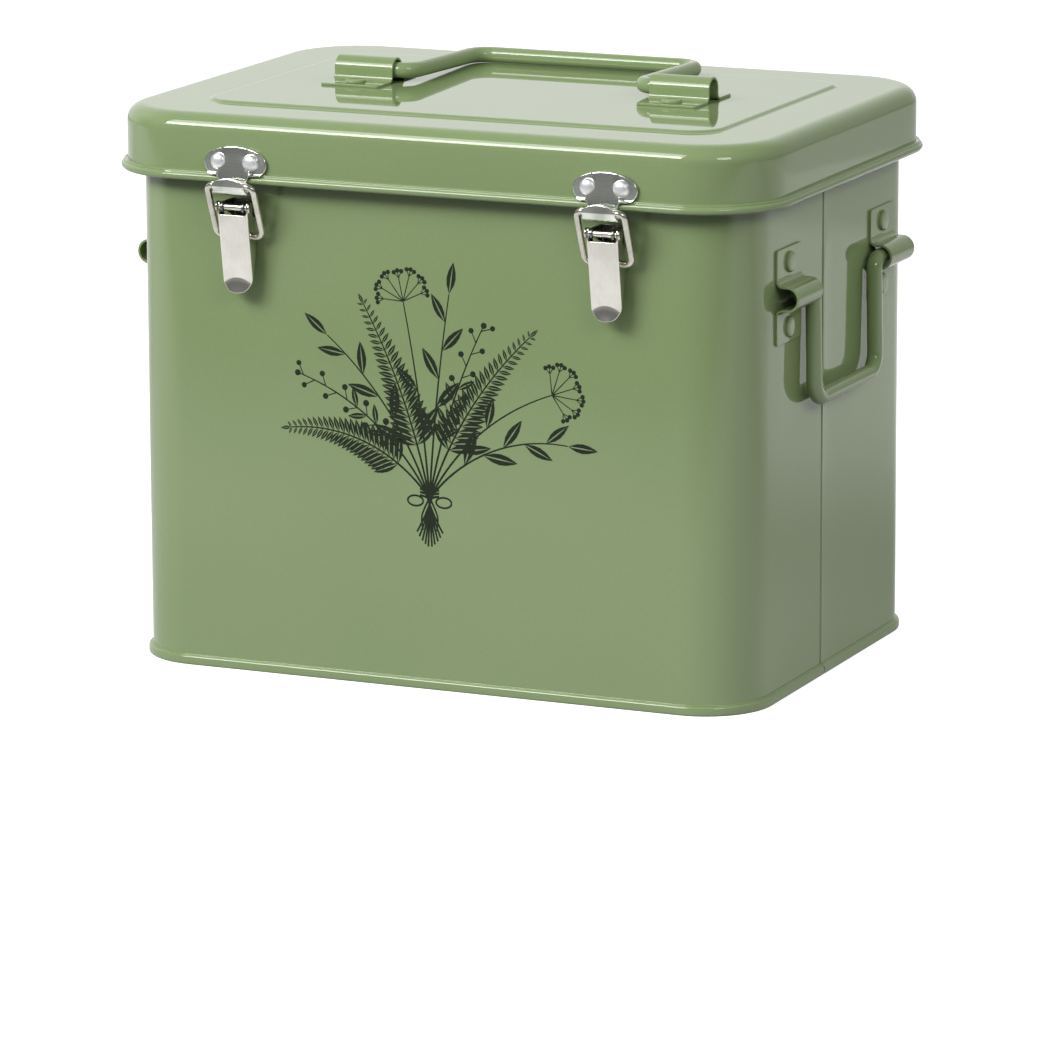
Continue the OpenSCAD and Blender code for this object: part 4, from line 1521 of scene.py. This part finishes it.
    def build(self, finishes: Finishes, grower: Grower) -> None:
        """Makes both latches.

        Args:
            finishes: The finishes of the box.
            grower: What makes wires and rivets.
        """
        keepers = RivetSet("keeper", "lid", Slot.STEEL, self.keeper_rivet, finishes.rivet)
        bases = RivetSet("latch_base", "box", Slot.STEEL, self.base_rivet, finishes.zinc)
        ahead, wire = Vector((0, -1, 0)), finishes.wire
        for side in Side:
            x, word = side.value * self.x, side.word
            middle = self.front(x, self.pin_out, self.pin_z)
            keeper = self.keeper(x, f"keeper_{word}_plate", finishes.plate)
            base = self.base(x, f"latch_base_{word}_plate", finishes.zinc)
            pin = turned_pin(f"latch_pin_{word}_turned", self.pin_long, self.pin_r, self.pin_head, middle, wire)
            for piece, body, node in (
                (keeper, "lid", f"keeper_{word}"),
                (base, "box", f"latch_base_{word}"),
                (pin, "box", f"latch_pin_{word}"),
                (self.lever(x, f"lever_{word}_channel", finishes.lever), f"lever_{word}", f"latch_lever_{word}"),
                (self.loop(x, f"loop_{word}_wire", wire, grower), f"loop_{word}", f"latch_loop_{word}"),
            ):
                hand_over(piece, body, Slot.STEEL, node)
            keepers.spots += [(self.front(x + step, *self.keeper_rivets_at), ahead) for step in (-7, 7)]
            bases.spots += [(self.front(x, 1.0, z), ahead) for z in (184, 171)]
        for rivets in (keepers, bases):
            rivets.build(grower)


# ---- hinges


@dataclass
class Hinges:
    """The two rear hinges: a body leaf, a lid leaf and a pin each, with their rivets."""

    tin: Tin
    x: float = 80.0
    width: float = 32.0
    thickness: float = 1.2
    axis: Point2 = (12.8, 198.0)
    pin_r: float = 1.5
    pin_head: Point2 = (2.2, 1.0)
    middle: float = 6.5
    gap: float = 0.3
    rivet: Rivet = Rivet(6.2, 2.0, 3.0, 2.2, HeadShape.BUTTON)
    body_fold: FoldLine = folded((0.6, 168.3), 90.0, (26.0,), (2.199, -90), (10.8,), (11.641, 290))
    lid_fold: FoldLine = folded(
        (7.6, 218.4), -90.0, (10.22,), (1.105, 42.2), (3.16,), (1.105, -42.2), (5.82,), (11.641, 290)
    )

    def rear(self, x: float, out: float, z: float) -> Vector:
        """A point behind the rear wall."""
        return Vector((x, self.tin.depth / 2 + out, z))

    def leaf(self, x: float, name: str, fold: FoldLine, outline: Sequence[Point2], finish: Finish) -> Thing:
        """One leaf, rolled round the pin.

        Args:
            x: Its middle along the wall.
            name: The piece's name.
            fold: Its side view.
            outline: Its blank.
            finish: Its material.

        Returns:
            The piece.
        """

        def place(across: float, along: float, off: float) -> Vector:
            """Bends the leaf behind the box."""
            return self.rear(x + across, *fold.at(along, off))

        return Stamping(outline, self.thickness, place, along_cuts=fold.cuts(14.0), rim=0.18).build(name, finish)

    def build(self, finishes: Finishes, grower: Grower) -> None:
        """Makes both hinges.

        Args:
            finishes: The finishes of the box.
            grower: What makes wires and rivets.
        """
        half, inner, end = self.width / 2, self.middle + self.gap, self.body_fold.length
        notch = [(inner, end, 0.0), (inner, 35.5, 1.0), (-inner, 35.5, 1.0), (-inner, end, 0.0)]
        body = rounded([(half, 0, 2), (half, end, 0), *notch, (-half, end, 0), (-half, 0, 2)])
        tab, low, end = self.middle, 15.4, self.lid_fold.length
        lid = [(half, 0, 2), (half, low, 1.5), (tab, low, 0.8), (tab, end, 0), (-tab, end, 0), (-tab, low, 0.8)]
        lid = rounded([*lid, (-half, low, 1.5), (-half, 0, 2)])
        enamel, behind = finishes.enamel, Vector((0, 1, 0))
        leaves = (("hinge_body", "box"), ("hinge_lid", "lid"))
        sets = [RivetSet(fitting, on, Slot.GREEN, self.rivet, enamel) for fitting, on in leaves]
        for side in Side:
            x, word = side.value * self.x, side.word
            low_leaf = self.leaf(x, f"hinge_body_{word}_rolled", self.body_fold, body, enamel)
            high_leaf = self.leaf(x, f"hinge_lid_{word}_rolled", self.lid_fold, lid, enamel)
            axis = self.rear(x, *self.axis)
            pin = turned_pin(f"hinge_pin_{word}_turned", self.width, self.pin_r, self.pin_head, axis, enamel)
            for piece, rides, node in (
                (low_leaf, "box", f"hinge_body_leaf_{word}"),
                (high_leaf, "lid", f"hinge_lid_leaf_{word}"),
                (pin, "box", f"hinge_pin_{word}"),
            ):
                hand_over(piece, rides, Slot.GREEN, node)
            for rivets, spot in zip(sets, ((1.2, 182.3), (8.2, 213.0))):
                rivets.spots += [(self.rear(x + step, *spot), behind) for step in (-9, 9)]
        for rivets in sets:
            rivets.build(grower)


# ---- the print


class Growth(Enum):
    """What a printed stem carries."""

    BLADES = "blades"
    FERN = "fern"
    BERRIES = "berries"
    UMBEL = "umbel"


@dataclass(frozen=True)
class Stem:
    """One stem of the sheaf: its lean in degrees, its length, and what grows on it."""

    lean: float
    length: float
    growth: Growth


@dataclass
class SheafPrint:
    """A generic print on the front wall: a tied sheaf of garden stems in dark line."""

    tin: Tin
    middle_x: float = 0.3
    tie_z: float = 80.0
    stems: tuple[Stem, ...] = (
        Stem(-78, 66, Growth.FERN),
        Stem(-58, 74, Growth.BERRIES),
        Stem(-40, 76, Growth.BLADES),
        Stem(-23, 80, Growth.FERN),
        Stem(-9, 78, Growth.UMBEL),
        Stem(7, 82, Growth.BLADES),
        Stem(21, 74, Growth.BERRIES),
        Stem(37, 80, Growth.FERN),
        Stem(56, 70, Growth.UMBEL),
        Stem(76, 66, Growth.BLADES),
    )
    strokes: list[tuple[list[Point2], float, float]] = field(default_factory=list)
    leaves: list[tuple[Point2, float, float]] = field(default_factory=list)
    dots: list[tuple[Point2, float]] = field(default_factory=list)

    def stroke(self, line: list[Point2], start: float, end: float) -> None:
        """Draws a line whose pen goes from one width to another, in millimetres."""
        self.strokes.append((line, start, end))

    @staticmethod
    def step(point: Point2, heading: float, length: float) -> Point2:
        """A point at a distance, heading in degrees from upright to the right."""
        turn = math.radians(heading)
        return point[0] + length * math.sin(turn), point[1] + length * math.cos(turn)

    def path(self, stem: Stem, steps: int = 28) -> tuple[list[Point2], list[float]]:
        """A stem's points and headings; it bends outwards as it rises.

        Args:
            stem: The stem.
            steps: Pieces of its line.

        Returns:
            The points, and the heading at each.
        """
        points, headings = [(self.middle_x + stem.lean * 0.02, self.tie_z)], [stem.lean * 0.5]
        for i in range(1, steps + 1):
            headings.append(stem.lean * (0.5 + 0.75 * i / steps))
            points.append(self.step(points[-1], headings[-1], stem.length / steps))
        return points, headings

    def grow(self, stem: Stem) -> None:
        """Draws one stem with what grows on it, and its foot below the tie.

        Args:
            stem: The stem.
        """
        points, headings = self.path(stem)
        self.stroke(points, 0.95, 0.5)
        foot = points[:1]
        for i in range(8):
            foot.append(self.step(foot[-1], 180 + stem.lean * (0.25 + 0.02 * i), (22 - abs(stem.lean) * 0.06) / 8))
        self.stroke(foot, 0.95, 0.8)
        last = len(points) - 1
        if stem.growth is Growth.FERN:
            for i in range(7, last + 1):
                size = 11.5 * (1.05 - i / last) + 2.4
                self.leaves += [(points[i], headings[i] + turn, size) for turn in (-58, 58)]
            self.leaves.append((points[last], headings[last], 5.0))
        elif stem.growth is Growth.BLADES:
            for number, i in enumerate(range(8, last, 4)):
                turn = 36 if number % 2 else -36
                self.leaves.append((points[i], headings[i] + turn, 17.5 - 5.5 * i / last))
            self.leaves.append((points[last], headings[last], 13.0))
        elif stem.growth is Growth.BERRIES:
            for number, i in enumerate(range(9, last + 1, 2)):
                side = 1 if number % 2 else -1
                tip = self.step(points[i], headings[i] + side * 48, 5.2)
                self.stroke([points[i], tip], 0.5, 0.4)
                self.dots.append((tip, 3.3 - 1.1 * i / last))
                if i < 18:
                    self.leaves.append((points[i], headings[i] - side * 42, 8.5))
            self.dots.append((points[last], 2.6))
        else:
            for spread, length in ((0, 9.5), (-26, 10.5), (26, 10.5), (-52, 10.0), (52, 10.0), (-76, 8.5), (76, 8.5)):
                tip = self.step(points[last], headings[last] + spread, length)
                self.stroke([points[last], tip], 0.5, 0.4)
                for turn in (-34, 0, 34):
                    end = self.step(tip, headings[last] + spread + turn, 3.0)
                    self.stroke([tip, end], 0.4, 0.35)
                    self.dots.append((end, 1.9))
            self.leaves += [(points[i], headings[i] + turn, 13.0) for i, turn in ((9, 38), (15, -38))]

    def tie(self) -> None:
        """Draws the cord round the stems, with a knot and two short ends."""
        x, z = self.middle_x, self.tie_z
        for drop in (-1.3, 0.0, 1.3):
            self.stroke([(x - 4.2, z + drop + 0.5), (x, z + drop - 0.4), (x + 4.2, z + drop + 0.5)], 1.0, 1.0)
        for side in (-1, 1):
            ring = arc((x + side * 6.2, z - 3.2), 3.4, 0, 360, 20)
            self.stroke([(px, z - 3.2 + (pz - z + 3.2) * 0.62) for px, pz in ring], 0.8, 0.8)
            self.stroke(smoothed([(x, z - 1.5), (x + side * 3.4, z - 9), (x + side * 3.0, z - 15)], 5), 0.8, 0.7)

    @staticmethod
    def leaf_shape(finish: Finish) -> Thing:
        """A leaf of 1 mm along X in two halves beside its bare midrib, for the sprig tree to scale.

        Args:
            finish: Its material.

        Returns:
            The pattern.
        """
        half = [(0.02, 0.0), (0.12, 0.05), (0.3, 0.125), (0.5, 0.15), (0.7, 0.12), (0.87, 0.06), (1.0, 0.0)]
        half += [(0.85, 0.006), (0.5, 0.022), (0.15, 0.018)]
        parts = bmesh.new()
        for side in (-1, 1):
            front, back = ([parts.verts.new((x, y, side * z)) for x, z in half] for y in (-0.006, 0.006))
            parts.faces.new(front)
            parts.faces.new(list(reversed(back)))
            for i in range(len(half)):
                j = (i + 1) % len(half)
                parts.faces.new([front[i], back[i], back[j], front[j]])
        bmesh.ops.recalc_face_normals(parts, faces=parts.faces)
        return mesh_object("leaf_pattern", parts, finish)

    @staticmethod
    def dot_shape(finish: Finish) -> Thing:
        """A round spot of 1 mm across, for the sprig tree to scale.

        Args:
            finish: Its material.

        Returns:
            The pattern.
        """
        spot = lathe([(0.0, -0.02), (0.45, -0.02), (0.5, 0.0), (0.45, 0.02), (0.0, 0.02)], 14)
        bmesh.ops.rotate(spot, matrix=Matrix.Rotation(math.pi / 2, 3, "X"), verts=spot.verts)
        return mesh_object("dot_pattern", spot, finish)

    def build(self, finishes: Finishes, grower: Grower) -> None:
        """Prints the sheaf.

        Args:
            finishes: The finishes of the box.
            grower: What makes wires and rivets.
        """
        ink, wall = finishes.ink, -self.tin.depth / 2
        for stem in self.stems:
            self.grow(stem)
        self.tie()
        points, edges, pens = [], [], []
        for line, start, end in self.strokes:
            edges += [(len(points) + i, len(points) + i + 1) for i in range(len(line) - 1)]
            pens += [start + (end - start) * i / (len(line) - 1) for i in range(len(line))]
            points += [Vector((x, 0, z)) for x, z in line]
        values = {"Flatness": 0.12, "Wall": (0, wall * MM, 0), "Finish": ink}
        parts = [grower.bake("strokes", grower.seed(points, edges, pen=pens), grower.stroke, values)]
        turned = [(x, z, math.radians(heading), size) for (x, z), heading, size in self.leaves]
        leaves = [(Vector((x, wall, z)), Vector((math.sin(a), 0, math.cos(a))), size) for x, z, a, size in turned]
        dots = [(Vector((x, wall, z)), Vector((1, 0, 0)), size) for (x, z), size in self.dots]
        for label, shape, spots in (("leaves", self.leaf_shape(ink), leaves), ("dots", self.dot_shape(ink), dots)):
            parts.append(grower.scattered(label, grower.sprig, shape, spots))
        hand_over(joined("printed_sheaf", parts, ink), "box", Slot.GREEN)


# ---- studio


@dataclass(frozen=True)
class Softbox:
    """A soft lamp: azimuth from the front to the right and elevation, in degrees, sizes in metres."""

    name: str
    azimuth: float
    elevation: float
    distance: float
    width: float
    height: float
    level: float

    def build(self) -> None:
        """Hangs the lamp, aimed at the middle of the box."""
        turn, rise = math.radians(self.azimuth), math.radians(self.elevation)
        towards = Vector((math.sin(turn) * math.cos(rise), -math.cos(turn) * math.cos(rise), math.sin(rise)))
        lamp = bpy.data.lights.new(self.name, "AREA")
        lamp.shape, lamp.size, lamp.size_y = "RECTANGLE", self.width, self.height
        lamp.energy = self.level * math.pi * self.width * self.height
        holder = linked(self.name, lamp)
        holder.location = Vector((0, 0, 0.12)) + towards * self.distance
        holder.rotation_euler = towards.to_track_quat("Z", "Y").to_euler()
        holder.visible_camera = False


@dataclass(frozen=True)
class StudioCard(Coating):
    """Matt card under the box.

    To the eye: pale and white where it is lit, with the shadow of the box on it. To polished and coated
    pieces it shows bands of light, and to matt ones it throws back less than it would.
    """

    name: str = "studio_card"
    bounce: float = 0.2
    lift: float = 0.75
    gloss_lift: float = 0.16
    bands: tuple[Point2, ...] = (
        *((0.0, 0.26), (0.14, 0.28), (0.3, 1.15), (0.48, 1.3), (0.55, 1.12)),
        *((0.61, 1.02), (0.7, 1.33), (0.88, 1.45), (0.97, 1.45), (1.0, 1.1)),
    )

    def surface(self, node: partial, place: Socket) -> Node:
        """Tells apart what the camera, the glossy pieces and the matt ones see.

        Args:
            node: What adds a node to the tree.
            place: The place on the piece.

        Returns:
            The last node.
        """
        rays = node("ShaderNodeLightPath").outputs
        gloss = rays["Is Glossy Ray"]
        tooth = node("ShaderNodeTexNoise", links={"Vector": place, "Scale": 40.0, "Detail": 2.0}).outputs["Fac"]
        tint = node("ShaderNodeMix", RGBA, {0: tooth, 6: linear("#e6e6e4"), 7: linear("#eaeae8")}).outputs[2]
        axis = node("ShaderNodeSeparateXYZ", links={"Vector": place}).outputs
        run = node("ShaderNodeMapRange", links={"Value": axis["Y"], "From Min": -1.0, "From Max": 1.0})
        image = set_levels(node("ShaderNodeValToRGB", links={"Fac": run.outputs["Result"]}), self.bands)
        grey = (self.bounce,) * 3 + (1.0,)
        bounced = node("ShaderNodeMix", RGBA, {0: rays["Is Diffuse Ray"], 6: tint, 7: grey}).outputs[2]
        shade = node("ShaderNodeMix", RGBA, {0: gloss, 6: bounced, 7: image})
        matt = node("ShaderNodeBsdfDiffuse", links={"Color": shade.outputs[2]})
        plain = node("ShaderNodeMath", {"operation": "MULTIPLY"}, {0: rays["Is Camera Ray"], 1: self.lift})
        lifted = {0: gloss, 1: self.gloss_lift, 2: plain.outputs[0]}
        glow = node("ShaderNodeMath", {"operation": "MULTIPLY_ADD"}, lifted)
        colour = node("ShaderNodeMix", RGBA, {0: gloss, 6: WHITE, 7: image})
        lift = node("ShaderNodeEmission", links={"Color": colour.outputs[2], "Strength": glow.outputs[0]})
        return node("ShaderNodeAddShader", links={0: matt.outputs[0], 1: lift.outputs[0]})


@dataclass
class Studio:
    """Camera, lamps, pale floor and white surroundings."""

    lens: float = 220.61
    yaw: float = 0.4176924
    pitch: float = 0.2194940
    roll: float = -0.0037514
    distance: float = 2655.1
    aim_right: float = -0.52246
    aim_up: float = 47.66339
    floor_r: float = 3000.0
    matt_rest: float = 0.4
    matt_lobes: tuple[Point2, ...] = ((-30.0, 2.45), (110.0, 2.6), (200.0, 1.6))
    matt: tuple[Point2, ...] = ((0.0, 0.06), (0.64, 0.06), (0.71, 0.94), (0.8, 0.94), (0.85, 0.1), (1.0, 0.08))
    front: tuple[Point2, ...] = (
        *((0.0, 0.25), (0.46, 0.25), (0.5, 0.19), (0.64, 0.19)),
        *((0.75, 0.45), (0.9, 0.3), (1.0, 0.25)),
    )
    back: tuple[Point2, ...] = (
        *((0.0, 0.3), (0.47, 0.5), (0.5, 1.0), (0.55, 1.05)),
        *((0.8, 1.05), (0.92, 0.6), (1.0, 0.25)),
    )
    softboxes: tuple[Softbox, ...] = (
        Softbox("key_softbox", -28.0, 33.0, 2.6, 1.4, 0.55, 15.0),
        Softbox("key_top_softbox", -28.0, 45.5, 2.6, 1.3, 0.6, 5.6),
        Softbox("right_softbox", 48.0, 30.0, 1.8, 0.5, 0.35, 6.5),
    )

    def camera(self) -> None:
        """Sets the camera at the photograph's angle."""
        a, p, r = self.yaw, self.pitch, self.roll
        ahead = Vector((-math.sin(a) * math.cos(p), math.cos(a) * math.cos(p), -math.sin(p)))
        right = Vector((math.cos(a), math.sin(a), 0))
        up = right.cross(ahead)
        place = (right * self.aim_right + Vector((0, 0, self.aim_up)) - ahead * self.distance) * MM
        right, up = right * math.cos(r) + up * math.sin(r), up * math.cos(r) - right * math.sin(r)
        data = bpy.data.cameras.new("photo_camera")
        data.lens, data.sensor_width, data.clip_start, data.clip_end = self.lens, 36.0, 0.05, 100.0
        camera = linked("photo_camera", data)
        camera.matrix_world = Matrix.Translation(place) @ Matrix((right, up, -ahead)).transposed().to_4x4()
        bpy.context.scene.camera = camera

    def world(self) -> None:
        """White to the camera, a bright low band to gloss, and an even level to matt surfaces."""
        world = bpy.data.worlds.new("studio_air")
        world.use_nodes = True
        world.node_tree.nodes.clear()
        node = partial(add, world.node_tree)
        sky = node("ShaderNodeTexCoord").outputs["Generated"]
        axis = node("ShaderNodeSeparateXYZ", links={"Vector": sky}).outputs
        height, behind, left = (
            node(
                "ShaderNodeMapRange",
                links={"Value": axis[label], "From Min": -end, "From Max": end, "To Min": low, "To Max": high},
            ).outputs["Result"]
            for label, end, low, high in (("Z", 1.0, 0.0, 1.0), ("Y", 0.2, 0.0, 1.0), ("X", 0.4, 1.0, 0.35))
        )
        front, back, even = (
            set_levels(node("ShaderNodeValToRGB", links={"Fac": height}), stops)
            for stops in (self.front, self.back, self.matt)
        )
        faded = node("ShaderNodeMix", {**RGBA, "blend_type": "MULTIPLY"}, {0: 1.0, 6: back, 7: left})
        gloss = node("ShaderNodeMix", RGBA, {0: behind, 6: front, 7: faded.outputs[2]})
        gain = self.matt_rest
        for azimuth, level in self.matt_lobes:
            turn = math.radians(azimuth)
            ways = {0: sky, 1: (math.sin(turn), -math.cos(turn), 0.0)}
            towards = node("ShaderNodeVectorMath", {"operation": "DOT_PRODUCT"}, ways).outputs["Value"]
            lobe = node("ShaderNodeMapRange", links={"Value": towards, "From Min": 0.2, "To Max": level})
            gain = node("ShaderNodeMath", {"operation": "ADD"}, {0: lobe.outputs["Result"], 1: gain}).outputs[0]
        matt = node("ShaderNodeMath", {"operation": "MULTIPLY"}, {0: even, 1: gain})
        rays = node("ShaderNodeLightPath").outputs
        lit = node("ShaderNodeMix", RGBA, {0: rays["Is Glossy Ray"], 6: matt.outputs[0], 7: gloss.outputs[2]})
        through = {0: rays["Is Camera Ray"], 1: rays["Is Transmission Ray"]}
        seen = node("ShaderNodeMath", {"operation": "MAXIMUM"}, through).outputs[0]
        white = node("ShaderNodeMix", RGBA, {0: seen, 6: lit.outputs[2], 7: WHITE})
        power = node("ShaderNodeMapRange", links={"Value": seen, "To Min": BRIGHTEST, "To Max": 1.0})
        air = node("ShaderNodeBackground", links={"Color": white.outputs[2], "Strength": power.outputs["Result"]})
        node("ShaderNodeOutputWorld", links={"Surface": air.outputs[0]})
        bpy.context.scene.world = world

    def build(self) -> None:
        """Sets up the studio."""
        bpy.context.scene.view_settings.view_transform = "Standard"
        self.camera()
        self.world()
        disc = lathe([(0.0, -20.0), (self.floor_r, -20.0), (self.floor_r, -0.02), (0.0, -0.02)], 96)
        mesh_object("studio_floor", disc, StudioCard().material())
        for softbox in self.softboxes:
            softbox.build()


def main() -> None:
    """Builds the studio and every sub-assembly in order."""
    logging.basicConfig(level=logging.INFO, format="%(name)s: %(message)s")
    for leftover in list(bpy.data.objects):
        bpy.data.objects.remove(leftover)
    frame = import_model()
    Studio().build()
    finishes, grower, tin = Finishes(), Grower(), Tin()
    tin.build(finishes, frame["nodes"])
    Lid(tin).build(finishes)
    for fittings in (Handles, Latches, Hinges, SheafPrint):
        fittings(tin).build(finishes, grower)


if __name__ == "__main__":
    main()
